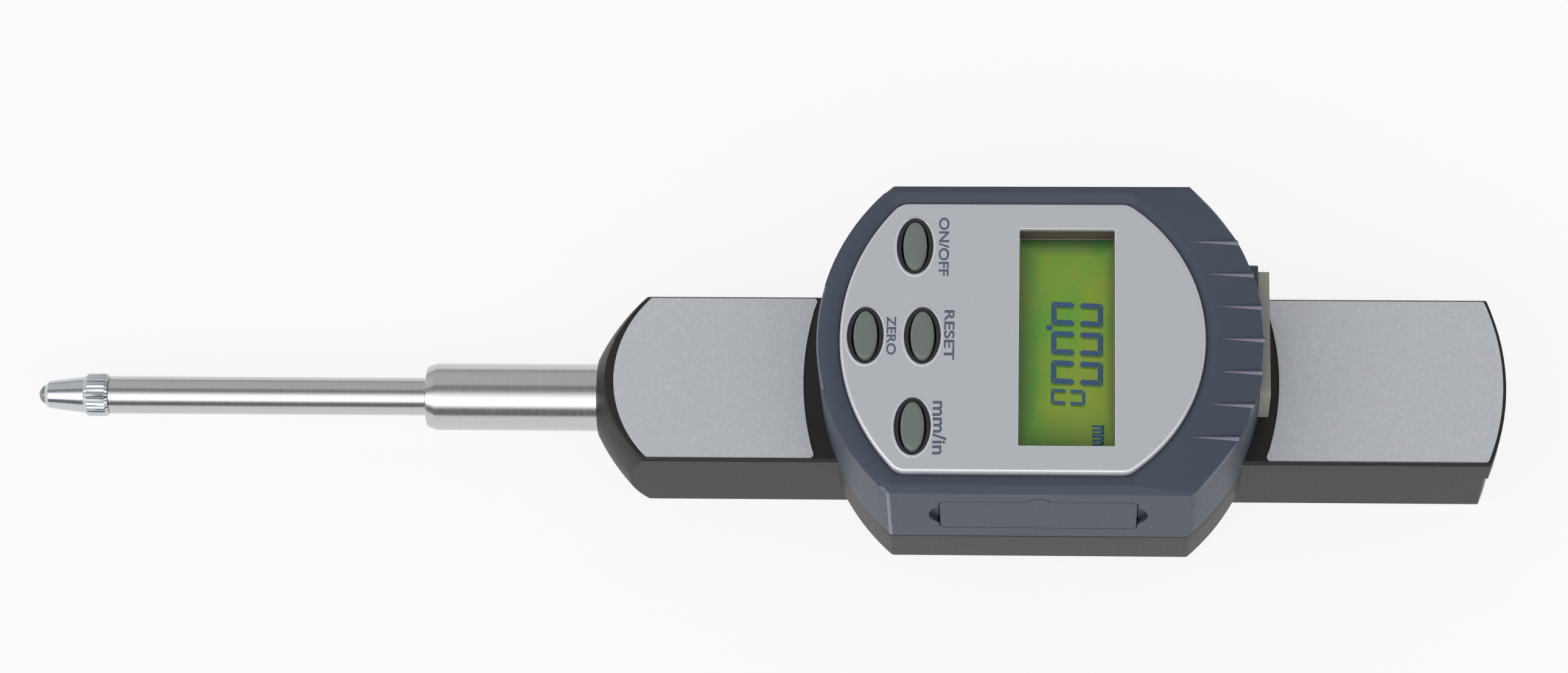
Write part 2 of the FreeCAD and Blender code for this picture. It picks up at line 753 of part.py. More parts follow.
def make_carriage():
    """The bar that the spindle pushes: it carries the scale and its wide tail runs between the walls."""
    carriage = body("carriage")
    side = CARRIAGE_SIDE
    tail = f"({CARRIAGE_END}-carriage_tail)"
    plan = [(CARRIAGE_START, "-spring_side"), (tail, "-spring_side"), (tail, f"-{side}"),
            (CARRIAGE_END, f"-{side}"), (CARRIAGE_END, side), (CARRIAGE_START, side)]
    pad(carriage, "bar", "-carriage_half_depth", "carriage_half_depth", lambda item: outline(item, plan))
    grip = rectangle(f"{CARRIAGE_START}-overcut", f"{CARRIAGE_START}+spindle_grip", "0", "spindle_radius")
    turn(carriage, "spindle_hole", "Groove", grip)
    pin_x = f"{CARRIAGE_END}-carriage_tail/2"
    pocket(carriage, "pin_hole", "-carriage_half_depth", "carriage_half_depth",
           lambda item: circle(item, pin_x, "spring_centre_y", "anchor_radius"))
    slot = rectangle(f"{tail}-overcut", f"{CARRIAGE_END}-carriage_tail/2+spring_radius",
                     "spring_centre_y-spring_radius-hook_slot_play",
                     "spring_centre_y+spring_radius+hook_slot_play")
    pocket(carriage, "hook_slot", "-spring_radius-hook_slot_play", "carriage_half_depth",
           lambda item: outline(item, slot))
    grub_x = f"{CARRIAGE_START}+spindle_grip/2"
    pocket(carriage, "grub_hole", "0", "carriage_half_depth",
           lambda item: circle(item, grub_x, "0", "board_screw_radius"))
    node(carriage, "carriage")
    scale = box("scale", (f"{CARRIAGE_START}+spindle_grip", f"{CARRIAGE_END}-scale_end_margin"),
                ("scale_centre_y-scale_half_width", "scale_centre_y+scale_half_width"),
                ("carriage_half_depth", SCALE_TOP))
    node(scale, "scale")
    grub = cylinder("grub", "z", (grub_x, "0", "spindle_radius"), "board_screw_radius",
                    "carriage_half_depth-spindle_radius")
    node(grub, "grub_screw")


def make_spring():
    """The return spring: a close-wound tension coil between a pin in the beam and one in the carriage."""
    first = "nose_solid+anchor_inset"
    last = f"{CARRIAGE_END}-carriage_tail/2"
    reach = f"({last})-({first})"
    anchor = cylinder("anchor", "z", (first, "spring_centre_y", f"{CAVITY_FLOOR}-anchor_sink"),
                      "anchor_radius", f"spring_radius-({CAVITY_FLOOR}-anchor_sink)")
    node(anchor, "beam_spring_pin")
    pin = cylinder("pin", "z", (last, "spring_centre_y", "-carriage_half_depth"),
                   "anchor_radius", "carriage_half_depth*2")
    node(pin, "carriage_spring_pin")
    hook = "(anchor_radius+spring_wire+hook_play)"
    coil = cut("coil",
               cylinder("coil_outside", "x", (f"{first}+2*{hook}", "spring_centre_y", "0"),
                        "spring_radius", f"{reach}-4*{hook}"),
               cylinder("coil_inside", "x", (f"{first}+2*{hook}-overcut", "spring_centre_y", "0"),
                        "spring_radius-spring_wire", f"{reach}-4*{hook}+2*overcut"))
    rings = []
    for name, x in (("front_hook", first), ("rear_hook", last)):
        ring = DOC.addObject("Part::Torus", name)
        bind(ring, {"Radius1": "anchor_radius+hook_play+spring_wire/2", "Radius2": "spring_wire/2",
                    "Placement.Base.x": x, "Placement.Base.y": "spring_centre_y"})
        rings.append(ring)
    front_tail = cylinder("front_tail", "x", (f"{first}+anchor_radius+hook_play+spring_wire/2",
                          "spring_centre_y+spring_radius-spring_wire/2", "0"), "spring_wire/2",
                          f"{hook}+spring_wire")
    rear_tail = cylinder("rear_tail", "x", (f"{last}-anchor_radius-hook_play-spring_wire*1.5-{hook}",
                         "spring_centre_y+spring_radius-spring_wire/2", "0"), "spring_wire/2",
                         f"{hook}+spring_wire")
    node(group("spring", coil, *rings, front_tail, rear_tail), "return_spring")


def make_bumpers():
    """Rubber pads that stop the carriage at each end of its travel."""
    front = cut("front_bumper",
                box("front_pad", ("nose_solid", "nose_solid+bumper_thick"),
                    ("-bumper_half_width", "bumper_high_side"),
                    ("-carriage_half_depth", "carriage_half_depth")),
                cylinder("front_pad_hole", "x", ("nose_solid-overcut", "0", "0"), "stem_bore_radius",
                         "bumper_thick+2*overcut"))
    node(front, "front_bumper")
    rear = box("rear_bumper", (f"{CAVITY_END}-bumper_thick", CAVITY_END),
               ("-bumper_half_width", "bumper_half_width"), ("-carriage_half_depth", "carriage_half_depth"))
    node(rear, "rear_bumper")


# Head

def head_outline(radius, flat):
    """The head's plan: a circle with a flat on either side."""
    half = f"sqrt({radius}^2-({flat})^2)"
    return rectangle(f"head_centre-{half}", f"head_centre+{half}", f"-({flat})", flat), \
        {1: ("out", radius), 3: ("out", radius)}


def plate_outline(margin):
    """The face plate's plan, or the same plan with a margin round it."""
    flat = f"({PLATE_FLAT}+({margin}))"
    left = f"({LEFT_ARC}+({margin}))"
    right = f"({RIGHT_ARC}+({margin}))"
    corners = [(f"{PLATE_LEFT}+{LEFT_ARC}-sqrt({left}^2-{flat}^2)", f"-{flat}"),
               (f"{PLATE_RIGHT}-{RIGHT_ARC}+sqrt({right}^2-{flat}^2)", f"-{flat}"),
               (f"{PLATE_RIGHT}-{RIGHT_ARC}+sqrt({right}^2-{flat}^2)", flat),
               (f"{PLATE_LEFT}+{LEFT_ARC}-sqrt({left}^2-{flat}^2)", flat)]
    return corners, {1: ("out", right), 3: ("out", left)}


def case_screw_places():
    """The four corners where the case is screwed together."""
    return [(f"head_centre+({x})", y) for x in (f"-{POST_X}", POST_X) for y in (f"-{POST_Y}", POST_Y)]


def saddle_screw_places():
    """The four screws that hold the base on the beam."""
    along = f"({SADDLE_HALF}-saddle_screw_inset)"
    across = f"({HALF_WIDTH}-saddle_screw_edge)"
    return [(f"head_centre+({x})", y) for x in (f"-{along}", along) for y in (f"-{across}", across)]


def standoff_places():
    """The four standoffs that the main board hangs from."""
    left = f"{HEAD_LEFT}+standoff_left_inset"
    right = f"{HEAD_RIGHT}-standoff_right_inset"
    return [(left, "-standoff_left_y"), (left, "standoff_left_y"),
            (right, "-standoff_right_y"), (right, "standoff_right_y")]


def reader_seat(gap):
    """The sides of the reader board's seat in the saddle, or of what lies in it with a gap all round."""
    return (f"{READER_X}-reader_length/2-reader_seat_margin+({gap})",
            f"{READER_X}+reader_length/2+reader_seat_margin-({gap})",
            f"scale_centre_y-reader_half_width-reader_seat_margin+({gap})",
            f"scale_centre_y+reader_half_width+reader_seat_high_margin-({gap})")


def make_head_base():
    """The moulded base: a tray on either side of the beam, joined by a saddle over its front face."""
    base = body("head_base")
    pad(base, "block", "base_back", PARTING,
        lambda item: outline(item, *head_outline("head_radius", "head_flat")))
    pocket(base, "trays", FLOOR_TOP, PARTING,
           lambda item: outline(item, *head_outline(INNER_RADIUS, INNER_FLAT)))
    half = f"({HALF_WIDTH}+beam_fit+saddle_wall)"
    saddle = rectangle(f"head_centre-{SADDLE_HALF}", f"head_centre+{SADDLE_HALF}", f"-{half}", half)
    pad(base, "saddle", "base_back", SADDLE_TOP, lambda item: outline(item, saddle))
    channel = rectangle(f"{HEAD_LEFT}-overcut", f"{HEAD_RIGHT}+overcut",
                        f"-{HALF_WIDTH}-beam_fit", f"{HALF_WIDTH}+beam_fit")
    pocket(base, "channel", "base_back-overcut", FRONT, lambda item: outline(item, channel))
    seat = rectangle(*reader_seat("0"))
    pocket(base, "reader_seat", FRONT, SADDLE_TOP, lambda item: outline(item, seat))

    def case_holes(item):
        for x, y in case_screw_places():
            circle(item, x, y, "case_screw_radius+case_screw_play")

    def case_sinks(item):
        for x, y in case_screw_places():
            circle(item, x, y, "case_screw_head+case_screw_play")

    def saddle_holes(item):
        for x, y in saddle_screw_places():
            circle(item, x, y, "saddle_screw_radius")

    def saddle_sinks(item):
        for x, y in saddle_screw_places():
            circle(item, x, y, "saddle_screw_head")

    pocket(base, "case_screw_holes", "base_back-overcut", FLOOR_TOP, case_holes)
    pocket(base, "case_screw_sinks", "base_back-overcut", "base_back+case_screw_sink", case_sinks)
    pocket(base, "saddle_screw_holes", FRONT, SADDLE_TOP, saddle_holes)
    pocket(base, "saddle_screw_sinks", f"{SADDLE_TOP}-saddle_screw_sink", SADDLE_TOP, saddle_sinks)
    node(base, "head_base")


def make_front_shell():
    """The moulded front: bezel with grip ribs, seat for the plate, openings for drawer, port and buttons."""
    shell = body("shell")
    pad(shell, "wall_block", PARTING, RIM_LEVEL,
        lambda item: outline(item, *head_outline("head_radius", "head_flat")))

    rim = sketch(shell, "rim_sketch", "XY_Plane", RIM_LEVEL)
    outline(rim, *head_outline("head_radius", "head_flat"))
    crest = sketch(shell, "crest_sketch", "XY_Plane", CREST_LEVEL)
    outline(crest, *plate_outline("crest_margin"))
    bezel = shell.newObject("PartDesign::AdditiveLoft", "bezel")
    bezel.Profile = rim
    bezel.Sections = [crest]
    bezel.Ruled = True
    shell.Tip = bezel

    make_ribs(shell)
    seat = pocket(shell, "plate_seat", PLATE_BACK, CREST_LEVEL,
                  lambda item: outline(item, *plate_outline("plate_gap")))
    level = size(CREST_LEVEL)
    reach = size(f"{PLATE_FLAT}+plate_gap") + 0.01

    def seat_rim(edge):
        ends = [vertex.Point for vertex in edge.Vertexes]
        return all(abs(end.z - level) < 0.01 and abs(end.y) < reach for end in ends)

    cove = shell.newObject("PartDesign::Chamfer", "cove")
    cove.Base = (seat, pick(seat, seat_rim))
    cove.ChamferType = "Two distances"
    bind(cove, {"Size": "cove_width", "Size2": "cove_depth"})
    shell.Tip = cove
    boss = rectangle(f"{COVER_LEFT}-boss_margin", f"{COVER_RIGHT}+boss_margin",
                     f"{COVER_LOW}-boss_margin", f"{COVER_HIGH}+boss_margin")
    pad(shell, "port_boss", "head_centre", COVER_BACK, lambda item: outline(item, boss), plane="YZ_Plane")
    pocket(shell, "hollow", f"{PARTING}-overcut", DECK_UNDER,
           lambda item: outline(item, *head_outline(INNER_RADIUS, INNER_FLAT)))
    notch = rectangle(f"{HEAD_LEFT}-overcut", f"{HEAD_RIGHT}+overcut",
                      f"-{HALF_WIDTH}-beam_fit", f"{HALF_WIDTH}+beam_fit")
    pocket(shell, "beam_notch", f"{PARTING}-overcut", f"{FRONT}+beam_fit", lambda item: outline(item, notch))
    window = rectangle(WINDOW_LEFT, WINDOW_RIGHT, f"-{WINDOW_HALF}", WINDOW_HALF)
    pocket(shell, "window", DECK_UNDER, PLATE_BACK, lambda item: outline(item, window))
    gasket = gasket_outline("beam_fit")
    pocket(shell, "gasket_seat", f"{PLATE_BACK}-gasket_thick", PLATE_BACK,
           lambda item: outline(item, *gasket))

    def posts(item):
        for x, y in case_screw_places():
            circle(item, x, y, "post_radius")

    def post_holes(item):
        for x, y in case_screw_places():
            circle(item, x, y, "case_screw_radius")

    def standoffs(item):
        for x, y in standoff_places():
            circle(item, x, y, "standoff_radius")

    def standoff_holes(item):
        for x, y in standoff_places():
            circle(item, x, y, "board_screw_radius")

    pad(shell, "posts", FLOOR_TOP, DECK_UNDER, posts)
    pad(shell, "standoffs", BOARD_TOP, DECK_UNDER, standoffs)
    pocket(shell, "standoff_holes", BOARD_TOP, f"{BOARD_TOP}+board_screw_length-board_thick", standoff_holes)
    screw_top = "base_back+case_screw_sink+case_screw_length"
    pocket(shell, "post_holes", FLOOR_TOP, screw_top, post_holes)
    make_drawer_opening(shell)
    make_port_opening(shell)
    rooms = []
    for name, (x, y) in BUTTONS.items():
        rooms.append(oval(f"{name}_hole", x, y, "button_half_width+button_play",
                          "button_half_length+button_play", f"{DECK_UNDER}-overcut", FACE_LEVEL))
        rooms.append(oval(f"{name}_flange_room", x, y, "button_half_width+flange_lip+button_play",
                          "button_half_length+flange_lip+button_play",
                          f"{BUTTON_FOOT}-button_travel-flange_play", DECK_UNDER))
    node(cut("front_shell", shell, *rooms), "front_shell")


def make_ribs(shell):
    """The grip ribs on the bezel's broad side: level ridges that come out of its slope and end at the rim."""
    foot = f"{RIM_LEVEL}-rib_root"
    crown = f"{CREST_LEVEL}-rib_drop"

    def ridges(item):
        middle = (SIZES["rib_count"] - 1) / 2
        for number in range(int(SIZES["rib_count"])):
            y = f"(rib_pitch*{number - middle})"
            outline(item, [(f"{y}-rib_width/2", foot), (f"{y}+rib_width/2", foot),
                           (f"{y}+rib_crown/2", crown), (f"{y}-rib_crown/2", crown)])

    def past_rim(item):
        outline(item, rectangle(f"{HEAD_LEFT}-overcut", f"{HEAD_RIGHT}+2*overcut",
                                "-head_flat-overcut", "head_flat+overcut"))
        outline(item, *head_outline("head_radius", "head_flat"))

    pad(shell, "ribs", "head_centre", f"{HEAD_RIGHT}+overcut", ridges, plane="YZ_Plane")
    pocket(shell, "rib_ends", foot, crown, past_rim)


def make_drawer_opening(shell):
    """The seat for the drawer's face, the slot for its tray and a finger scoop at each end."""
    gap = "drawer_gap"
    face, peak = drawer_outline(gap)
    seat = pocket(shell, "drawer_seat", f"head_flat-drawer_face-{gap}", "head_flat",
                  lambda item: outline(item, face, peak), plane="XZ_Plane")
    places = [(size(x), size(z)) for x, z in (*face[:3], face[5])]
    soften(shell, "drawer_seat_corners", "Fillet", seat,
           pick(seat, lambda edge: stands_at(edge, "y", places)), f"drawer_corner+{gap}")
    slot = rectangle(f"{DRAWER_LEFT}+tray_side_inset-{gap}", f"{DRAWER_RIGHT}-tray_side_inset+{gap}",
                     f"{DRAWER_LOW}-{gap}/2", f"{CELL_TOP}+{gap}")
    pocket(shell, "tray_slot", f"{INNER_FLAT}-overcut", "head_flat",
           lambda item: outline(item, slot), plane="XZ_Plane")
    low = f"({DRAWER_LOW}+drawer_height/2-scoop_height/2)"
    high = f"({DRAWER_LOW}+drawer_height/2+scoop_height/2)"
    round_side = {0: ("out", "((scoop_height/2)^2+scoop_width^2)/(2*scoop_width)")}
    for name, ends in (("left_scoop", [(DRAWER_LEFT, high), (DRAWER_LEFT, low)]),
                       ("right_scoop", [(DRAWER_RIGHT, low), (DRAWER_RIGHT, high)])):
        pocket(shell, name, "head_flat-scoop_depth", "head_flat",
               lambda item, ends=ends: outline(item, ends, round_side), plane="XZ_Plane")


def make_port_opening(shell):
    """The flat seat that the port cover lies on, and the slot through the wall behind it."""
    seat = rectangle(f"{COVER_LEFT}-drawer_gap", f"{COVER_RIGHT}+drawer_gap",
                     f"{COVER_LOW}-drawer_gap", f"{COVER_HIGH}+drawer_gap")
    pocket(shell, "cover_seat", COVER_BACK, f"{COVER_FRONT}+overcut", lambda item: outline(item, seat),
           plane="YZ_Plane")
    slot = rectangle("cover_shift-socket_half_width", "cover_shift+socket_half_width",
                     SOCKET_LOW, BOARD_UNDER)
    pocket(shell, "port_slot", f"{COVER_BACK}-socket_depth", f"{COVER_BACK}+overcut",
           lambda item: outline(item, slot), plane="YZ_Plane")


def make_face_plate():
    """The satin plate with its rolled rim, display window and four oval holes with raised rims."""
    plate = body("plate_blank")
    blank = pad(plate, "blank", PLATE_BACK, FACE_LEVEL, lambda item: outline(item, *plate_outline("0")))
    places = [(size(x), size(y)) for x, y in plate_outline("0")[0]]
    rounded = soften(plate, "corners", "Fillet", blank,
                     pick(blank, lambda edge: stands_at(edge, "z", places)), "plate_corner")
    level = size(FACE_LEVEL)
    soften(plate, "rim", "Fillet", rounded, pick(rounded, lambda edge: lies_at(edge, level)), "plate_roll")
    window = rectangle(WINDOW_LEFT, WINDOW_RIGHT, f"-{WINDOW_HALF}", WINDOW_HALF)
    pocket(plate, "window", PLATE_BACK, FACE_LEVEL, lambda item: outline(item, window))
    rims = []
    holes = []
    for name, (x, y) in BUTTONS.items():
        rims.append(oval(f"{name}_rim", x, y, "ring_half_width+rim_width", "ring_half_length+rim_width",
                         PLATE_BACK, f"{FACE_LEVEL}+rim_rise"))
        holes.append(oval(f"{name}_plate_hole", x, y, "ring_half_width", "ring_half_length",
                          f"{PLATE_BACK}-overcut", f"{FACE_LEVEL}+overcut"))
    whole = fuse("rimmed_plate", plate, *rims)
    bevelled = soften_top("bevelled_plate", "Chamfer", whole, f"{FACE_LEVEL}+rim_rise", "rim_bevel")
    node(cut("face_plate", bevelled, *holes), "face_plate")


def gasket_outline(margin):
    """The gasket's plan: it follows the plate's left arc and stops short of the window."""
    radius = f"({LEFT_ARC}-gasket_margin+({margin}))"
    half = f"({OUTER_Y}+ring_half_length+gasket_end_margin+({margin}))"
    left = f"{PLATE_LEFT}+{LEFT_ARC}-sqrt({radius}^2-{half}^2)"
    right = f"{PLATE_LEFT}+gasket_length+({margin})"
    return rectangle(left, right, f"-{half}", half), {3: ("out", radius)}


def make_gasket():
    """The rubber pad under the plate, with a raised ring round each button."""
    sheet = body("gasket_sheet")
    pad(sheet, "sheet", f"{PLATE_BACK}-gasket_thick", PLATE_BACK,
        lambda item: outline(item, *gasket_outline("0")))
    rings = []
    holes = []
    for name, (x, y) in BUTTONS.items():
        rings.append(oval(f"{name}_ring", x, y, "ring_half_width", "ring_half_length",
                          f"{PLATE_BACK}-ring_root", f"{FACE_LEVEL}-ring_drop"))
        holes.append(oval(f"{name}_ring_hole", x, y, "button_half_width+button_play",
                          "button_half_length+button_play", f"{PLATE_BACK}-gasket_thick-overcut",
                          f"{FACE_LEVEL}+overcut"))
    node(cut("gasket", fuse("gasket_solid", sheet, *rings), *holes), "button_gasket")


def make_display():
    """The display glass under the window, and the light panel behind it."""
    x = (f"{WINDOW_LEFT}-lcd_margin", f"{WINDOW_RIGHT}+lcd_margin")
    y = (f"-{WINDOW_HALF}-lcd_margin", f"{WINDOW_HALF}+lcd_margin")
    node(box("lcd", x, y, (LCD_UNDER, DECK_UNDER)), "lcd_glass")
    node(box("light", x, y, (BOARD_TOP, LCD_UNDER)), "lcd_backlight")


def make_main_board():
    """The circuit board, notched round the case posts, and the screws that hang it from the shell."""
    board = body("board")
    pad(board, "sheet", BOARD_UNDER, BOARD_TOP,
        lambda item: outline(item, *head_outline(f"({INNER_RADIUS}-board_edge_gap)",
                                                 f"({INNER_FLAT}-board_edge_gap)")))

    def notches(item):
        for x, y in case_screw_places():
            circle(item, x, y, "post_radius+board_edge_gap/2")

    def holes(item):
        for x, y in standoff_places():
            circle(item, x, y, "board_screw_radius")

    pocket(board, "notches", BOARD_UNDER, BOARD_TOP, notches)
    pocket(board, "holes", BOARD_UNDER, BOARD_TOP, holes)
    node(board, "main_board")
    screws = []
    for number, (x, y) in enumerate(standoff_places(), start=1):
        head = cylinder(f"board_head_{number}", "z", (x, y, f"{BOARD_UNDER}-board_screw_head_thick"),
                        "board_screw_head", "board_screw_head_thick")
        shank = cylinder(f"board_shank_{number}", "z", (x, y, BOARD_UNDER),
                         "board_screw_radius", "board_screw_length")
        screws.append(fuse(f"board_screw_{number}", head, shank))
    node(group("board_screw_set", *screws), "board_screws")
    switches = []
    for number, (x, y) in enumerate(BUTTONS.values(), start=1):
        case = box(f"switch_case_{number}", (f"{x}-switch_half_width", f"{x}+switch_half_width"),
                   (f"{y}-switch_half_width", f"{y}+switch_half_width"),
                   (BOARD_TOP, f"{BOARD_TOP}+switch_case_height"))
        stem = cylinder(f"switch_stem_{number}", "z", (x, y, f"{BOARD_TOP}+switch_case_height"),
                        "switch_stem_radius", "switch_height-switch_case_height")
        switches.append(fuse(f"switch_{number}", case, stem))
    node(group("switch_set", *switches), "button_switches")


def make_buttons():
    """The four oval caps, each kept in by a flange under the shell's deck."""
    for name, (x, y) in BUTTONS.items():
        cap = oval(f"{name}_cap", x, y, "button_half_width", "button_half_length",
                   BUTTON_FOOT, f"{FACE_LEVEL}+button_proud")
        flange = oval(f"{name}_flange", x, y, "button_half_width+flange_lip",
                      "button_half_length+flange_lip", BUTTON_FOOT, f"{DECK_UNDER}-flange_play")
        whole = fuse(f"{name}_solid", cap, flange)
        crown = f"{FACE_LEVEL}+button_proud"
        node(soften_top(f"{name}_rounded", "Fillet", whole, crown, "button_dome"), name)


# Battery drawer, cell and contacts

def drawer_outline(margin):
    """The drawer's face with the round peak at its middle, or its seat with a margin round it."""
    left = f"{DRAWER_LEFT}-{margin}"
    right = f"{DRAWER_RIGHT}+{margin}"
    low = f"{DRAWER_LOW}-{margin}"
    high = f"{DRAWER_HIGH}+{margin}"
    radius = f"((peak_half_width^2+peak_height^2)/(2*peak_height)+{margin})"
    half = f"sqrt({radius}^2-({radius}-peak_height)^2)"
    corners = [(left, low), (right, low), (right, high), (f"{DRAWER_CENTRE}+{half}", high),
               (f"{DRAWER_CENTRE}-{half}", high), (left, high)]
    return corners, {3: ("out", radius)}


def make_drawer():
    """The drawer: a face that closes the wall, and a tray with a round seat for the coin cell."""
    drawer = body("drawer")
    face, peak = drawer_outline("0")
    front = pad(drawer, "face", "head_flat-drawer_face", "head_flat",
                lambda item: outline(item, face, peak), plane="XZ_Plane")
    places = [(size(x), size(z)) for x, z in (*face[:3], face[5])]
    soften(drawer, "face_corners", "Fillet", front,
           pick(front, lambda edge: stands_at(edge, "y", places)), "drawer_corner")
    tray = rectangle(f"{DRAWER_LEFT}+tray_side_inset", f"{DRAWER_RIGHT}-tray_side_inset",
                     "-head_flat+drawer_face/2", TRAY_END_Y)
    pad(drawer, "tray", TRAY_LOW, f"{TRAY_LOW}+tray_rise", lambda item: outline(item, tray))
    pocket(drawer, "cell_seat", CELL_LOW, f"{TRAY_LOW}+tray_rise",
           lambda item: circle(item, DRAWER_CENTRE, CELL_CENTRE_Y, "cell_radius+cell_gap"))
    notch = rectangle(f"{DRAWER_CENTRE}-contact_half_width-contact_gap",
                      f"{DRAWER_CENTRE}+contact_half_width+contact_gap",
                      f"{CELL_CENTRE_Y}+cell_radius-overcut", f"{TRAY_END_Y}+overcut")
    pocket(drawer, "contact_notch", CELL_LOW, f"{TRAY_LOW}+tray_rise", lambda item: outline(item, notch))
    node(drawer, "battery_drawer")
    lower = cylinder("cell_can", "z", (DRAWER_CENTRE, CELL_CENTRE_Y, f"{CELL_LOW}+cell_cap_height"),
                     "cell_radius", "cell_thick-cell_cap_height")
    cap = cylinder("cell_cap", "z", (DRAWER_CENTRE, CELL_CENTRE_Y, CELL_LOW), "cell_radius-cell_step",
                   "cell_step")
    node(fuse("cell", lower, cap), "coin_cell")


def make_battery_contacts():
    """Two sprung strips under the board: one on the cell's flat side, one on its rim."""
    top = box("top_contact", (f"{DRAWER_CENTRE}-contact_half_width", f"{DRAWER_CENTRE}+contact_half_width"),
              (f"{CELL_CENTRE_Y}-contact_half_length", f"{CELL_CENTRE_Y}+contact_half_length"),
              (f"{CELL_TOP}+contact_gap", BOARD_UNDER))
    rim_y = f"{CELL_CENTRE_Y}+cell_radius+contact_gap"
    rim = box("rim_contact", (f"{DRAWER_CENTRE}-contact_half_width", f"{DRAWER_CENTRE}+contact_half_width"),
              (rim_y, f"{rim_y}+rim_contact_thick"), (f"{CELL_LOW}+contact_gap", BOARD_UNDER))
    node(group("contacts", top, rim), "battery_contacts")


# Reader and data port

def make_reader():
    """The sensing head over the scale, its small board in the saddle, and the header up to the main board."""
    y = ("scale_centre_y-reader_half_width", "scale_centre_y+reader_half_width")
    sensor = box("sensor", (f"{READER_X}-reader_length/2", f"{READER_X}+reader_length/2"), y,
                 (READER_LOW, FRONT))
    node(sensor, "reader_head")
    left, right, low, high = reader_seat("reader_board_gap")
    board = box("reader_sheet", (left, right), (low, high), (FRONT, f"{SADDLE_TOP}-reader_board_sink"))
    node(board, "reader_board")
    low_y = f"({TRAY_END_Y}+header_gap)"
    header = box("header", (f"{READER_X}-header_width/2", f"{READER_X}+header_width/2"),
                 (low_y, f"{low_y}+header_depth"), (f"{SADDLE_TOP}-reader_board_sink", BOARD_UNDER))
    node(header, "board_header")


def make_port():
    """The data socket under the board's edge, and the push-in cover that closes it."""
    half = "(socket_half_width-tongue_gap)"
    shell = box("socket_block", (f"{COVER_BACK}-socket_depth", COVER_BACK),
                (f"cover_shift-{half}", f"cover_shift+{half}"),
                (f"{SOCKET_LOW}+tongue_gap", BOARD_UNDER))
    hole_half = f"({half}-socket_wall)"
    hole = box("socket_hole", (f"{COVER_BACK}-socket_depth+socket_end_wall", f"{COVER_BACK}+overcut"),
               (f"cover_shift-{hole_half}", f"cover_shift+{hole_half}"),
               (f"{SOCKET_LOW}+tongue_gap+socket_wall", f"{BOARD_UNDER}-socket_wall"))
    node(cut("socket", shell, hole), "data_socket")
    cover = body("cover")
    plan = rectangle(COVER_LEFT, COVER_RIGHT, COVER_LOW, COVER_HIGH)
    lid = pad(cover, "lid", COVER_BACK, COVER_FRONT, lambda item: outline(item, plan), plane="YZ_Plane")
    places = [(size(y), size(z)) for y, z in plan]
    soften(cover, "corners", "Fillet", lid, pick(lid, lambda edge: stands_at(edge, "x", places)),
           "cover_corner")
    tongue_half = f"({hole_half}-tongue_gap)"
    tongue = rectangle(f"cover_shift-{tongue_half}", f"cover_shift+{tongue_half}",
                       f"{SOCKET_LOW}+2*tongue_gap+socket_wall", f"{BOARD_UNDER}-socket_wall-tongue_gap")
    pad(cover, "tongue", f"{COVER_BACK}-tongue_length", f"{COVER_BACK}+joint_reach",
        lambda item: outline(item, tongue), plane="YZ_Plane")
    node(cover, "port_cover")


# Screws

def make_screws():
    """The case screws from behind, and the countersunk screws that hold the saddle on the beam."""
    case = []
    for number, (x, y) in enumerate(case_screw_places(), start=1):
        top = "base_back+case_screw_sink"
        head = cylinder(f"case_head_{number}", "z", (x, y, f"{top}-case_screw_head_thick"),
                        "case_screw_head", "case_screw_head_thick")
        shank = cylinder(f"case_shank_{number}", "z", (x, y, top), "case_screw_radius", "case_screw_length")
        case.append(fuse(f"case_screw_{number}", head, shank))
    node(group("case_screw_set", *case), "case_screws")
    saddle = []
    for number, (x, y) in enumerate(saddle_screw_places(), start=1):
        head = cylinder(f"saddle_head_{number}", "z", (x, y, f"{SADDLE_TOP}-saddle_screw_sink"),
                        "saddle_screw_head", "saddle_screw_sink")
        shank = cylinder(f"saddle_shank_{number}", "z", (x, y, f"{SADDLE_TOP}-saddle_screw_length"),
                         "saddle_screw_radius", "saddle_screw_length-saddle_screw_slot")
        saddle.append(fuse(f"saddle_screw_{number}", head, shank))
    node(group("saddle_screw_set", *saddle), "saddle_screws")


def check():
    """Stops the build where a feature failed, a cut took nothing or a piece has no sound solid."""
    for item in DOC.Objects:
        if "Invalid" in item.State or "Error" in item.State:
            raise RuntimeError(f"{item.Name} failed: {item.State}")
        if item.TypeId in ("PartDesign::Pocket", "PartDesign::Groove"):
            if item.Shape.Volume >= item.BaseFeature.Shape.Volume - 1e-6:
                raise RuntimeError(f"{item.Name} cuts nothing")
    for item in NODES:
        if item.Shape.isNull() or not item.Shape.isValid() or not item.Shape.Solids:
            raise RuntimeError(f"{item.Label} has no sound solid")


def main():
    make_beam()
    make_cover_strip()
    make_labels()
    make_stem()
    make_spindle()
    make_contact_point()
    make_carriage()
    make_spring()
    make_bumpers()
    make_head_base()
    make_front_shell()
    make_face_plate()
    make_gasket()
    make_display()
    make_main_board()
    make_buttons()
    make_drawer()
    make_battery_contacts()
    make_reader()
    make_port()
    make_screws()
    DOC.recompute()
    check()
    os.makedirs("parts", exist_ok=True)
    for item in NODES:
        item.Shape.exportStep(f"parts/{item.Label}.step")
        print(item.Label, len(item.Shape.Solids), round(item.Shape.Volume, 2))


main()
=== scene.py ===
"""Dresses the plunger indicator: lit display, lettering, caps, turned metal and finishes over its frame."""

import json
import math

import bmesh
import bpy
from mathutils import Matrix, Vector

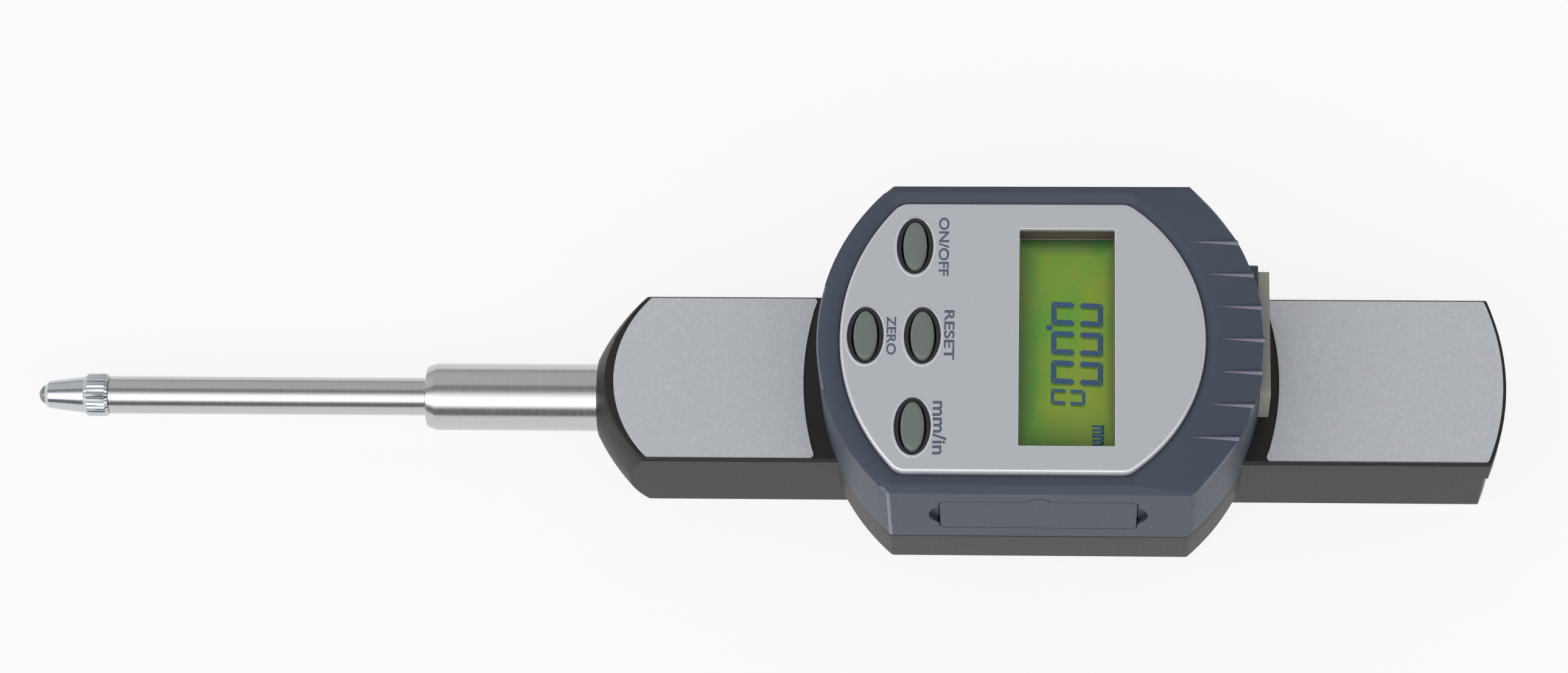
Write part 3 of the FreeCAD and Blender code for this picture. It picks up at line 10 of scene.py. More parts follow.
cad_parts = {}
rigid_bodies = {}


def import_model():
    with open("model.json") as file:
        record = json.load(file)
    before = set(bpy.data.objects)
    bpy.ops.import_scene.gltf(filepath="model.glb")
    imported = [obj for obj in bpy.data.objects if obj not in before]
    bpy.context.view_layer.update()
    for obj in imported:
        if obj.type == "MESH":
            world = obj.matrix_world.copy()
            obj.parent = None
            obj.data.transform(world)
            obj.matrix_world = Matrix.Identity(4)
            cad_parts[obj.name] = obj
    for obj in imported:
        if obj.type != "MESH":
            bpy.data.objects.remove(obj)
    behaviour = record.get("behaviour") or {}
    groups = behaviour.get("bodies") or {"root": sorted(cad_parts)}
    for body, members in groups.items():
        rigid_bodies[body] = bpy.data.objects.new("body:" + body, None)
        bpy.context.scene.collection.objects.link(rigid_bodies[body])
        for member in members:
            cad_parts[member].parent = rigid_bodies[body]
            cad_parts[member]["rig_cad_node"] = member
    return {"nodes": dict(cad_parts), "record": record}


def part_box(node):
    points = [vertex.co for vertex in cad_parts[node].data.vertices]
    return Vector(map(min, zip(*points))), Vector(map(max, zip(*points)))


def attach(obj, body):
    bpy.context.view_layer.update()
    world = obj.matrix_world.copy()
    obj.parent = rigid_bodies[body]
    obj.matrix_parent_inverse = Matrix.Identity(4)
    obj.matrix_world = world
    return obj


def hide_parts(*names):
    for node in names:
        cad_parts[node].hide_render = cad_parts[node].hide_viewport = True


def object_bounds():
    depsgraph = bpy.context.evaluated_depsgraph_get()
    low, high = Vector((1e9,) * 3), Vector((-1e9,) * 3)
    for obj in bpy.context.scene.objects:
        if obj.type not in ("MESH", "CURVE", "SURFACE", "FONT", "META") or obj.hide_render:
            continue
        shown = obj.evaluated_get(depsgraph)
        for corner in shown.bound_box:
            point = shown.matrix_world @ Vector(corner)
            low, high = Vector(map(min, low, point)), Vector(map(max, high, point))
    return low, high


bl_info = {
    "name": "Plunger indicator",
    "version": (1, 0, 0),
    "blender": (4, 5, 0),
    "location": "3D View > Sidebar > Indicator",
    "description": "Models and finishes the visible pieces of an electronic plunger indicator",
    "category": "Object",
}

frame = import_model()
CAD_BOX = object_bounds()
NODES = frame["nodes"]
SLOTS = [entry["slot"] for entry in frame["record"]["materials"]]
MM = 0.001

# Sizes of the frame that the dressing has to meet, in millimetres
RIM_RISE = 0.12         # raised rims round the buttons, over the plate
GLASS_LAP = 1.5         # plate over the display glass, on each side
RIB_COUNT = 7
RIB_PITCH = 4.06
STEM_RADIUS = 4.0
ROD_RADIUS = 2.25

# The turned parts, in millimetres
TURNED_STEPS = 96       # lines round the spindle axis
STEM_BORE = 3.0         # radius
SPIGOT_RADIUS = 3.6     # the stem's inner end, pressed into the beam
SPIGOT_END = 10.5
COLLAR_START = 5.18     # the contact point's collar behind its nose
COLLAR_END = 7.77
COLLAR_RADIUS = 2.56
FLUTE_EVERY = 4         # lines of the collar from one flute to the next
FLUTE_SIDE = 0.3        # depth of a flute's sides, as a share of its bottom's

# The caps, as half their width and length in millimetres, and the crown as pairs of scale and rise
CAP_HALF = (1.38, 3.0)
CAP_SIDES = 72
CAP_CROWN = ((0.96, 0.1), (0.92, 0.08), (0.82, 0.06), (0.66, 0.03), (0.33, 0.01))

# The socket and the screws, in millimetres
SOCKET_WALL = 0.45
SOCKET_DEPTH = 3.5
SOCKET_CONTACTS = 5
CONTACT_SIZE = (3.0, 0.5, 0.5)
CONTACT_BACK = 2.2      # middle of a contact behind the socket's mouth
CROSS_BARS = ((0.42, 1.9, 1.6), (1.9, 0.42, 1.6))

# The words: piece, letters, and the low and high X and the low and high Y that they fill
WORDS = (
    ("word_on_off", "ON/OFF", (40.85, 42.05, 7.5, 14.9)),
    ("word_zero", "ZERO", (34.95, 36.05, -2.4, 2.4)),
    ("word_reset", "RESET", (41.6, 42.8, -3.0, 3.2)),
    ("word_units", "mm/in", (40.4, 42.0, -14.7, -8.1)),
)
UNIT_BOX = (58.75, 60.1, -12.4, -9.9)

# The figures: X of the foot and the top, Y of the start and the end, and the width of a bar.
# The last one is small.
FIGURES = (
    (53.9, 60.05, 5.6, 2.6, 0.76),
    (53.9, 60.05, 1.93, -1.07, 0.76),
    (53.9, 60.05, -1.74, -4.74, 0.76),
    (53.9, 58.0, -5.3, -7.3, 0.5),
)
FIGURE_LEAN = 0.048     # sideways for each millimetre of height
FIGURE_LEVEL = 0.012    # over the glass
SHADOW_LEVEL = 0.005
SHADOW_DROP = 0.24      # how far the light throws a bar's shadow
BAR_GAP = 0.06          # half the gap between two bars
POINT_PLACE = (53.75, 2.25)
POINT_RADIUS = 0.37

# Breaking an edge
CREASE = math.radians(35)   # least turn between two faces that counts as an edge
EDGE_ROOM = 2.2             # least length of the edges that it meets, in radii
SLIVER = math.radians(14)   # a face's corner up to this angle leaves no room

# Nearly all values of a noise lie between these
NOISE_LOW = 0.3
NOISE_HIGH = 0.7

# The studio: the turn of a direction from straight up towards the far side, and the share of light there.
# A bright band stands behind the camera, a dark gap overhead and a mid grey beyond.
STUDIO = ((-180, 0.07), (-64, 0.07), (-54, 0.55), (-47, 0.8), (-34, 0.8), (-15, 0.48), (0, 0.12),
          (14, 0.09), (24, 0.23), (70, 0.22), (90, 0.13), (180, 0.13))
SIDE_LIGHT = 0.25       # more light at the contact point's side, less at the other
FLOOR_SIZE = 6
FLOOR_GAP = 0.2 * MM
FLOOR_WHITE = 0.85      # share of plain white in what the camera and a reflection see of the floor
CAMERA_PLACE = (53.09, -211.87, 532.98)
CAMERA_TURN = (22.466, 2.745, 1.46)
CAMERA_LENS = 110.26
SENSOR_WIDTH = 36


def millimetres(*values):
    """Lengths in metres, or one length, from millimetres."""
    return values[0] * MM if len(values) == 1 else Vector(value * MM for value in values)


# Selecting and editing

def only(piece):
    """Selects one piece alone and makes it the active one."""
    bpy.ops.object.select_all(action="DESELECT")
    piece.select_set(True)
    bpy.context.view_layer.objects.active = piece


def edit(piece):
    """Opens a piece in edit mode, for choosing vertices, with nothing selected."""
    only(piece)
    bpy.ops.object.mode_set(mode="EDIT")
    bpy.ops.mesh.select_mode(type="VERT")
    bpy.ops.mesh.select_all(action="DESELECT")


def done(piece):
    """Leaves edit mode."""
    bpy.ops.object.mode_set(mode="OBJECT")
    return piece


def everything():
    """In edit mode, selects the whole mesh."""
    bpy.ops.mesh.select_all(action="SELECT")


def choose(piece, kind, test):
    """In edit mode, selects the vertices, edges or faces that pass a test."""
    bpy.ops.mesh.select_mode(type=kind)
    bpy.ops.mesh.select_all(action="DESELECT")
    shape = bmesh.from_edit_mesh(piece.data)
    shape.normal_update()
    for part in {"VERT": shape.verts, "EDGE": shape.edges, "FACE": shape.faces}[kind]:
        if test(part):
            part.select = True
    shape.select_flush_mode()
    bmesh.update_edit_mesh(piece.data)


def move(x=0, y=0, z=0):
    """Moves what is selected in edit mode, in millimetres."""
    bpy.ops.transform.translate(value=millimetres(x, y, z))


def settle(piece):
    """Puts a piece's place into its mesh, so that its object sits at the origin, unturned and unscaled."""
    only(piece)
    bpy.ops.object.transform_apply(location=True, rotation=True, scale=True)
    return piece


def named(name):
    """Names the new piece, and returns it."""
    piece = bpy.context.object
    piece.name = name
    piece.data.name = name
    return piece


def modify(piece, kind, **settings):
    """Adds a modifier with its settings and applies it."""
    only(piece)
    modifier = piece.modifiers.new(kind.title(), kind)
    for name, value in settings.items():
        setattr(modifier, name, value)
    bpy.ops.object.modifier_apply(modifier=modifier.name)


def smooth(piece, angle):
    """Shades a piece smooth, apart from its sharp edges."""
    only(piece)
    bpy.ops.object.shade_smooth_by_angle(angle=math.radians(angle))
    return piece


def soften(piece, reach):
    """Breaks a piece's sharp edges with a small radius and keeps its flats flat in the light.

    An edge that meets a tiny one or a sliver stays sharp, because its radius would run over its
    neighbours. The radius takes the piece's last finish.
    """
    def has_room(vertex):
        """Whether a radius fits at this end of an edge."""
        return (all(edge.calc_length() > EDGE_ROOM * reach for edge in vertex.link_edges)
                and all(loop.calc_angle() > SLIVER for loop in vertex.link_loops))

    edit(piece)
    choose(piece, "EDGE", lambda edge: len(edge.link_faces) == 2 and edge.calc_face_angle() > CREASE
           and all(has_room(vertex) for vertex in edge.verts))
    bpy.ops.mesh.bevel(offset=reach, segments=2, affect="EDGES", clamp_overlap=False,
                       material=max(len(piece.data.materials) - 1, 0), miter_outer="ARC")
    done(piece)
    smooth(piece, 50)
    modify(piece, "WEIGHTED_NORMAL", keep_sharp=True, weight=90)
    return piece


def copy_of(node, name):
    """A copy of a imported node, its loose triangles merged into whole faces."""
    only(NODES[node])
    bpy.ops.object.duplicate()
    piece = named(name)
    piece.parent = None
    del piece["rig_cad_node"]
    bpy.ops.mesh.customdata_custom_splitnormals_clear()
    edit(piece)
    everything()
    bpy.ops.mesh.remove_doubles(threshold=millimetres(0.0005))
    bpy.ops.mesh.dissolve_limited(angle_limit=math.radians(0.4))
    return done(piece)


def lathe(name, profile):
    """A solid turned about the spindle axis from a profile of X and radius, in millimetres."""
    bpy.ops.mesh.primitive_plane_add(size=MM)
    piece = named(name)
    edit(piece)
    everything()
    bpy.ops.mesh.merge(type="CENTER")
    x, radius = profile[0]
    move(x=x, z=radius)
    for (x, radius), (next_x, next_radius) in zip(profile, profile[1:]):
        bpy.ops.mesh.extrude_region_move()
        move(x=next_x - x, z=next_radius - radius)
    everything()
    bpy.ops.mesh.spin(steps=TURNED_STEPS, angle=2 * math.pi, center=(0, 0, 0), axis=(1, 0, 0))
    everything()
    bpy.ops.mesh.remove_doubles(threshold=millimetres(0.001))
    bpy.ops.mesh.normals_make_consistent(inside=False)
    return done(piece)


# Finishes

def linear(code):
    """The linear colour of an sRGB hex value."""
    channels = [int(code[place:place + 2], 16) / 255 for place in (1, 3, 5)]
    return [c / 12.92 if c <= 0.04045 else ((c + 0.055) / 1.055) ** 2.4 for c in channels] + [1]


def shade(colour):
    """The linear colour of a hex value, or of a colour from the panel."""
    return linear(colour) if isinstance(colour, str) else [*colour, 1]


def tones(colour, gain):
    """A colour from the panel, and the same colour lightened."""
    return tuple(colour), tuple(channel * gain for channel in colour)


def add(tree, kind, inputs=None, **settings):
    """Adds a shader node with its settings; an input is a value or another node's output."""
    node = tree.nodes.new(f"ShaderNode{kind}")
    for name, value in settings.items():
        setattr(node, name, value)
    for name, value in (inputs or {}).items():
        if isinstance(value, bpy.types.NodeSocket):
            tree.links.new(value, node.inputs[name])
        else:
            node.inputs[name].default_value = value
    return node


def blank(name):
    """A new material with an empty tree."""
    material = bpy.data.materials.new(name)
    material.use_nodes = True
    material.node_tree.nodes.clear()
    return material, material.node_tree


def close(material, tree, surface):
    """Connects a shader to the material's output."""
    add(tree, "OutputMaterial", {"Surface": surface})
    return material


def grain(tree, size, detail=2, stretch=(1, 1, 1)):
    """Noise whose spots are about size millimetres wide, in the piece's own coordinates."""
    place = add(tree, "TexCoord").outputs["Object"]
    turned = add(tree, "Mapping", {"Vector": place, "Scale": stretch}).outputs[0]
    noise = add(tree, "TexNoise", {"Vector": turned, "Scale": 1 / (size * MM), "Detail": detail})
    return noise.outputs[0]


def black_anodised(low, high):
    """Anodised aluminium, bead blasted before dyeing: a warm black that turns grey where light grazes it."""
    material, tree = blank("black_anodised")
    # Real bead marks are finer: they are drawn at 0.25 mm so that they show
    blast = grain(tree, 0.25, 3)
    dye = add(tree, "Mix", {0: blast, 6: shade(low), 7: shade(high)}, data_type="RGBA")
    rough = add(tree, "MapRange", {0: blast, 1: NOISE_LOW, 2: NOISE_HIGH, 3: 0.42, 4: 0.52})
    dents = add(tree, "Bump", {"Height": blast, "Distance": 0.008 * MM})
    shader = add(tree, "BsdfPrincipled", {
        "Base Color": dye.outputs[2],
        "Roughness": rough.outputs[0],
        "Normal": dents.outputs[0],
    })
    return close(material, tree, shader.outputs[0])


def silver_foil(low, high):
    """Painted aluminium foil with a fine metallic glitter: most flecks lie flat, a few catch the light."""
    material, tree = blank("silver_foil")
    place = add(tree, "TexCoord").outputs["Object"]
    # A fleck is drawn 0.1 mm wide, about one and a half pixels of the photograph, so that it shows
    flecks = add(tree, "TexVoronoi", {"Vector": place, "Scale": 1 / (0.1 * MM)})
    fleck = add(tree, "SeparateColor", {0: flecks.outputs["Color"]}).outputs[0]
    bright = add(tree, "MapRange", {0: fleck, 1: 0.9, 2: 1, 3: 0, 4: 0.6})
    paint = add(tree, "Mix", {0: fleck, 6: shade(low), 7: shade(high)}, data_type="RGBA")
    glitter = add(tree, "Mix", {0: bright.outputs[0], 6: paint.outputs[2], 7: linear("#ffffff")},
                  data_type="RGBA")
    rough = add(tree, "MapRange", {0: fleck, 1: 0, 2: 1, 3: 0.52, 4: 0.34})
    ripple = add(tree, "Bump", {"Height": grain(tree, 0.25), "Distance": 0.003 * MM})
    shader = add(tree, "BsdfPrincipled", {
        "Base Color": glitter.outputs[2],
        "Roughness": rough.outputs[0],
        "Normal": ripple.outputs[0],
        "Metallic": 0.45,
    })
    return close(material, tree, shader.outputs[0])


def ground_steel(name="ground_steel", low="#c2c1bf", high="#cfcecd", rough=0.2, depth=0.0006):
    """Hardened steel, centreless ground: bright, with fine rings round the axis."""
    material, tree = blank(name)
    # Real grinding marks are finer: they are drawn at 0.12 mm so that they show
    rings = grain(tree, 0.12, 2, stretch=(1, 0.02, 0.02))
    metal = add(tree, "Mix", {0: rings, 6: shade(low), 7: shade(high)}, data_type="RGBA")
    ground = add(tree, "MapRange", {0: rings, 1: NOISE_LOW, 2: NOISE_HIGH, 3: rough - 0.03, 4: rough + 0.04})
    scratches = add(tree, "Bump", {"Height": rings, "Distance": depth * MM})
    shader = add(tree, "BsdfPrincipled", {
        "Base Color": metal.outputs[2],
        "Roughness": ground.outputs[0],
        "Normal": scratches.outputs[0],
        "Metallic": 1.0,
    })
    return close(material, tree, shader.outputs[0])


def moulded_plastic(name, low, high, rough, grain_size=0.35, depth=0.012, gloss=0.5):
    """Moulded ABS with a fine spark-eroded texture that takes the gloss off."""
    material, tree = blank(name)
    texture = grain(tree, grain_size, 3)
    pigment = add(tree, "Mix", {0: grain(tree, 14), 6: shade(low), 7: shade(high)}, data_type="RGBA")
    matt = add(tree, "MapRange", {0: texture, 1: NOISE_LOW, 2: NOISE_HIGH, 3: rough - 0.05, 4: rough + 0.06})
    pits = add(tree, "Bump", {"Height": texture, "Distance": depth * MM})
    shader = add(tree, "BsdfPrincipled", {
        "Base Color": pigment.outputs[2],
        "Roughness": matt.outputs[0],
        "Normal": pits.outputs[0],
        "Specular IOR Level": gloss,
    })
    return close(material, tree, shader.outputs[0])


def satin_paint(low, high):
    """Light silver paint on a pressed plate, satin, with a barely visible grain."""
    material, tree = blank("satin_paint")
    speck = grain(tree, 0.22)
    paint = add(tree, "Mix", {0: speck, 6: shade(low), 7: shade(high)}, data_type="RGBA")
    rough = add(tree, "MapRange", {0: speck, 1: NOISE_LOW, 2: NOISE_HIGH, 3: 0.4, 4: 0.52})
    skin = add(tree, "Bump", {"Height": speck, "Distance": 0.005 * MM})
    shader = add(tree, "BsdfPrincipled", {
        "Base Color": paint.outputs[2],
        "Roughness": rough.outputs[0],
        "Normal": skin.outputs[0],
        "Metallic": 0.25,
    })
    return close(material, tree, shader.outputs[0])


def bright_edge():
    """Painted highlight for the plate's rolled and pressed edges: a paler, shinier silver than the plate."""
    material, tree = blank("bright_edge")
    speck = grain(tree, 0.22)
    metal = add(tree, "Mix", {0: speck, 6: linear("#dfe1e5"), 7: linear("#e9ebee")}, data_type="RGBA")
    rough = add(tree, "MapRange", {0: speck, 1: NOISE_LOW, 2: NOISE_HIGH, 3: 0.26, 4: 0.34})
    shader = add(tree, "BsdfPrincipled", {
        "Base Color": metal.outputs[2],
        "Roughness": rough.outputs[0],
        "Metallic": 0.35,
    })
    return close(material, tree, shader.outputs[0])


def lit_glass():
    """Display glass over a green light panel: olive clouds, and painted shade in dark green along the
    window's sides.
    """
    material, tree = blank("lit_glass")
    low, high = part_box("lcd_glass")
    place = add(tree, "SeparateXYZ", {0: add(tree, "TexCoord").outputs["Object"]})
    # Each side of the window, how far the painted shade reaches in from it in millimetres, and how deep it is
    sides = ((1, high.y - GLASS_LAP * MM, -2.4, 1.0), (1, low.y + GLASS_LAP * MM, 6.0, 0.5),
             (0, low.x + GLASS_LAP * MM, 2.6, 0.6), (0, high.x - GLASS_LAP * MM, -1.2, 0.5))
    painted_shade = 0
    for axis, border, reach, depth in sides:
        fade = add(tree, "MapRange", {0: place.outputs[axis], 1: border, 2: border + reach * MM,
                                      3: depth, 4: 0})
        painted_shade = add(tree, "Math", {0: painted_shade, 1: fade.outputs[0]}, operation="MAXIMUM").outputs[0]
    cloud = grain(tree, 5, 3, stretch=(1, 0.5, 1))
    cloudy = add(tree, "MapRange", {0: cloud, 1: 0.38, 2: 0.62, 3: 0, 4: 1})
    speckle = grain(tree, 0.3)
    green = add(tree, "Mix", {0: speckle, 6: linear("#4f7f26"), 7: linear("#5d8d2e")}, data_type="RGBA")
    lit = add(tree, "Mix", {0: cloudy.outputs[0], 6: green.outputs[2], 7: linear("#71862a")},
              data_type="RGBA")
    # Painted shade: dark green over the lit colour along the window's sides
    colour = add(tree, "Mix", {0: painted_shade, 6: lit.outputs[2], 7: linear("#233a2c")}, data_type="RGBA")
    shader = add(tree, "BsdfPrincipled", {
        "Base Color": colour.outputs[2],
        "Emission Color": colour.outputs[2],
        "Emission Strength": bpy.context.scene.indicator_look.glow,
        "Roughness": 0.2,
    })
    return close(material, tree, shader.outputs[0])


def liquid_crystal(name, low, high, alpha):
    """A switched display segment: blue, a little of the green light still coming through."""
    material, tree = blank(name)
    tint = add(tree, "Mix", {0: grain(tree, 1.2), 6: shade(low), 7: shade(high)}, data_type="RGBA")
    shader = add(tree, "BsdfPrincipled", {
        "Base Color": tint.outputs[2],
        "Roughness": 0.3,
        "Alpha": alpha,
    })
    return close(material, tree, shader.outputs[0])


def grey_ink(low, high):
    """Screen-printed ink: flat, dark blue-grey, a little uneven."""
    material, tree = blank("grey_ink")
    tint = add(tree, "Mix", {0: grain(tree, 0.3), 6: shade(low), 7: shade(high)}, data_type="RGBA")
    shader = add(tree, "BsdfPrincipled", {
        "Base Color": tint.outputs[2],
        "Roughness": 0.6,
    })
    return close(material, tree, shader.outputs[0])


def build_finishes(colours):
    """Every finish by the name of the record's slot that it stands for, or its own."""
    return {
        "black_anodised": black_anodised(*tones(colours.beam, 1.75)),
        "silver_label": silver_foil(*tones(colours.label, 1.118)),
        "ground_steel": ground_steel(),
        "nickel": ground_steel("nickel", "#c3c9d0", "#cfd4da", 0.14, 0.0001),
        "bronze": ground_steel("bronze", "#a9794a", "#b98b58", 0.4),
        "shell_plastic": moulded_plastic("shell_plastic", *tones(colours.shell, 1.222), 0.45, gloss=0.22),
        "base_plastic": moulded_plastic("base_plastic", *tones(colours.base, 1.35), 0.5),
        "plate_silver": satin_paint(*tones(colours.plate, 1.124)),
        # Painted highlight on the plate's sloping faces and broken edges
        "bright_edge": bright_edge(),
        # Painted highlight on the broken edges of the case and the drawer
        "rubbed_plastic": moulded_plastic("rubbed_plastic", "#5f687a", "#6c7588", 0.28, 0.35, 0.004),
        # Painted highlight on the near side of each grip rib
        "rib_highlight_plastic": moulded_plastic("rib_highlight_plastic", "#858290", "#93909e", 0.3, 0.35, 0.004),
        "carbide": ground_steel("carbide", "#8c8b88", "#9a9996", 0.34),
        "black_rubber": moulded_plastic("black_rubber", "#222429", "#292b30", 0.4, 0.3, 0.006),
        "button_grey": moulded_plastic("button_grey", *tones(colours.cap, 1.224), 0.35, 0.5, 0.004),
        "cover_grey": moulded_plastic("cover_grey", *tones(colours.cover, 1.16), 0.5),
        "lcd": lit_glass(),
        "display_liner": moulded_plastic("display_liner", "#5d554f", "#655d56", 0.6, gloss=0.15),
        "glass_edge": moulded_plastic("glass_edge", "#84a070", "#93aa7c", 0.3),
        "light_panel": moulded_plastic("light_panel", "#9ab85a", "#a6c46a", 0.5),
        "board_green": moulded_plastic("board_green", "#1c5a34", "#24683e", 0.4),
        "component_black": moulded_plastic("component_black", "#202224", "#2a2c2e", 0.45),
        "screw_steel": ground_steel("screw_steel", "#8f8f8d", "#a8a8a6", 0.3),
        "spring_steel": ground_steel("spring_steel", "#8a8a8c", "#a2a2a4", 0.3),
        "gold_contact": ground_steel("gold_contact", "#c9a24a", "#d8b35c", 0.25),
        "carriage_metal": ground_steel("carriage_metal", "#a4a5a7", "#b8b9bb", 0.4),
        "scale_glass": moulded_plastic("scale_glass", "#7e8f90", "#8fa1a2", 0.15),
        "liquid_crystal": liquid_crystal("liquid_crystal", "#2f4f86", "#38607a", 0.86),
        "crystal_shadow": liquid_crystal("crystal_shadow", "#3a6a34", "#34602f", 0.5),
        "grey_ink": grey_ink("#525a69", "#606776"),
    }


FINISHES = {}


def dress(piece, body, finish, *replaced, slot=None):
    """Gives a finished piece its finish and its body, and hides the nodes that it stands for."""
    piece.data.materials.clear()
    piece.data.materials.append(FINISHES[finish])
    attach(piece, body)
    if slot or finish in SLOTS:
        slot or finish
    if replaced:
        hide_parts(*replaced)
    return piece


def other_finish(piece, finish, test):
    """Gives the faces that pass a test another finish, one that the piece already carries or a new one."""
    names = [material.name for material in piece.data.materials]
    if finish not in names:
        piece.data.materials.append(FINISHES[finish])
        names.append(finish)
    edit(piece)
    choose(piece, "FACE", test)
    piece.active_material_index = names.index(finish)
    bpy.ops.object.material_slot_assign()
    done(piece)


def colour_choice(name, description, code):
    """A colour for the panel, with a hex value as its default."""
    return bpy.props.FloatVectorProperty(name=name, description=description, subtype="COLOR", size=3,
                                         min=0, max=1, default=linear(code)[:3])


def length_choice(name, description, size, least, most):
    """A length for the panel, with its default and limits in millimetres."""
    return bpy.props.FloatProperty(name=name, description=description, subtype="DISTANCE", precision=6,
                                   default=size * MM, min=least * MM, max=most * MM)


class Look(bpy.types.PropertyGroup):
    """The sizes of the fine work and the level of the light."""
    edge: length_choice("Edge radius", "Radius on the case's moulded edges", 0.22, 0.05, 0.5)
    flute: length_choice("Flute depth", "Depth of the flutes on the grip collar", 0.15, 0, 0.4)
    ink: length_choice("Ink thickness", "How far the lettering stands up", 0.012, 0.005, 0.1)
    light: bpy.props.FloatProperty(name="Light", description="Level of the studio light at its brightest",
                                   default=2.62, min=0)
    glow: bpy.props.FloatProperty(name="Glow", description="Strength of the light behind the display",
                                  default=0.3, min=0, max=2)


class Colours(bpy.types.PropertyGroup):
    """The colours of the larger finishes, each where it is darkest."""
    shell: colour_choice("Shell", "Front shell and drawer, blue-grey ABS", "#444b58")
    base: colour_choice("Base", "Back of the head, black ABS", "#2c2d2b")
    plate: colour_choice("Plate", "Silver paint on the front plate", "#babdc3")
    label: colour_choice("Labels", "Silver foil on the beam", "#c5c8ce")
    beam: colour_choice("Beam", "Black anodised aluminium", "#101110")
    cap: colour_choice("Buttons", "Button caps, grey plastic", "#68706d")
    cover: colour_choice("Cover", "Data port's cover, pale grey plastic", "#8f9289")


class INDICATOR_OT_finishes(bpy.types.Operator):
    """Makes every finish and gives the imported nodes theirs."""
    bl_idname = "indicator.finishes"
    bl_label = "Finishes"

    def execute(self, context):
        FINISHES.update(build_finishes(context.scene.indicator_colours))
        for part in frame["record"]["subparts"]:
            node = NODES[part["node"]]
            node.data.materials.clear()
            node.data.materials.append(FINISHES[part["material_slot"]])
        return {"FINISHED"}


class INDICATOR_OT_housing(bpy.types.Operator):
    """The beam, the case and the plate, with their edges broken as moulding and machining leave them."""
    bl_idname = "indicator.housing"
    bl_label = "Housing"

    def execute(self, context):
        edge = context.scene.indicator_look.edge
        shapes = {
            "beam": (edge * 0.7, "black_anodised"),
            "cover_strip": (edge * 0.3, "black_anodised"),
            "head_base": (edge, "base_plastic"),
            # The case's broken edges take a paler plastic, a painted highlight
            "front_shell": (edge, "shell_plastic", "rubbed_plastic"),
            # The plate's broken edges take a paler silver, a painted highlight
            "face_plate": (edge * 0.4, "plate_silver", "bright_edge"),
            "button_gasket": (edge * 0.4, "black_rubber"),
            "left_label": (edge * 0.3, "silver_label"),
            "right_label": (edge * 0.3, "silver_label"),
            "data_socket": (edge * 0.3, "component_black"),
        }
        for node, (reach, finish, *edge_finish) in shapes.items():
            piece = copy_of(node, f"{node}_dressed")
            dress(piece, "housing", finish, node)
            for name in edge_finish:
                piece.data.materials.append(FINISHES[name])
            soften(piece, reach)
        # Painted highlight: the plate's faces that slope, on its rolled border and on the rims round the
        # buttons, take the paler finish
        other_finish(bpy.data.objects["face_plate_dressed"], "bright_edge",
                     lambda face: 0.12 < face.normal.z < 0.93)
        # Painted highlight: the near side of each grip rib takes a paler finish
        low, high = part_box("front_shell")
        half_row = (RIB_COUNT / 2) * RIB_PITCH * MM

        def near_side_of_rib(face):
            """Whether a face slopes towards the near side and lies in the row of ribs at the top."""
            middle = face.calc_center_median()
            return (face.normal.y < -0.5 and face.normal.z > 0.3 and abs(face.normal.x) < 0.2
                    and middle.x > (low.x + high.x) / 2 and abs(middle.y) < half_row
                    and middle.z > high.z - millimetres(1))

        other_finish(bpy.data.objects["front_shell_dressed"], "rib_highlight_plastic", near_side_of_rib)
        return {"FINISHED"}


class INDICATOR_OT_drawer(bpy.types.Operator):
    """The battery drawer and the port's cover, with softened edges."""
    bl_idname = "indicator.drawer"
    bl_label = "Drawer and cover"

    def execute(self, context):
        edge = context.scene.indicator_look.edge
        drawer = dress(copy_of("battery_drawer", "battery_drawer_dressed"), "drawer", "shell_plastic",
                       "battery_drawer")
        # The drawer's broken edges take the paler plastic, a painted highlight
        drawer.data.materials.append(FINISHES["rubbed_plastic"])
        soften(drawer, edge)
        cover = dress(copy_of("port_cover", "port_cover_dressed"), "cover", "cover_grey", "port_cover")
        soften(cover, edge)
        return {"FINISHED"}


class INDICATOR_OT_fasteners(bpy.types.Operator):
    """The case screws with their cross recesses, and the data socket with its row of contacts."""
    bl_idname = "indicator.fasteners"
    bl_label = "Screws and socket"

    def execute(self, context):
        screws = copy_of("case_screws", "case_screws_dressed")
        only(screws)
        bpy.ops.mesh.separate(type="LOOSE")
        singles = list(context.selected_objects)
        for screw in singles:
            corners = [vertex.co for vertex in screw.data.vertices]
            middle = [(min(c[axis] for c in corners) + max(c[axis] for c in corners)) / 2 for axis in (0, 1)]
            foot = min(c.z for c in corners)
            for size in CROSS_BARS:
                bpy.ops.mesh.primitive_cube_add(size=1, location=(*middle, foot))
                bar = context.object
                bar.scale = millimetres(*size)
                settle(bar)
                modify(screw, "BOOLEAN", operation="DIFFERENCE", solver="EXACT", object=bar)
                bpy.data.objects.remove(bar)
        bpy.ops.object.select_all(action="DESELECT")
        for screw in singles:
            screw.select_set(True)
        context.view_layer.objects.active = screws
        bpy.ops.object.join()
        dress(smooth(screws, 30), "housing", "screw_steel", "case_screws")

        low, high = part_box("data_socket")
        socket = bpy.data.objects["data_socket_dressed"]
        edit(socket)
        choose(socket, "FACE", lambda face: face.normal.x > 0.9
               and face.calc_center_median().x > high.x - millimetres(0.1))
        bpy.ops.mesh.inset(thickness=millimetres(SOCKET_WALL))
        bpy.ops.mesh.extrude_region_move()
        move(x=-SOCKET_DEPTH)
        done(socket)
        for number in range(SOCKET_CONTACTS):
            share = (number + 1) / (SOCKET_CONTACTS + 1)
            place = low.lerp(high, 0.5)
            place.x = high.x - millimetres(CONTACT_BACK)
            place.y = low.y + (high.y - low.y) * share
            bpy.ops.mesh.primitive_cube_add(size=1, location=place)
            contact = named(f"socket_contact_{number + 1}")
            contact.scale = millimetres(*CONTACT_SIZE)
            settle(contact)
            soften(contact, millimetres(0.12))
            dress(contact, "housing", "gold_contact", slot="screw_steel")
        return {"FINISHED"}


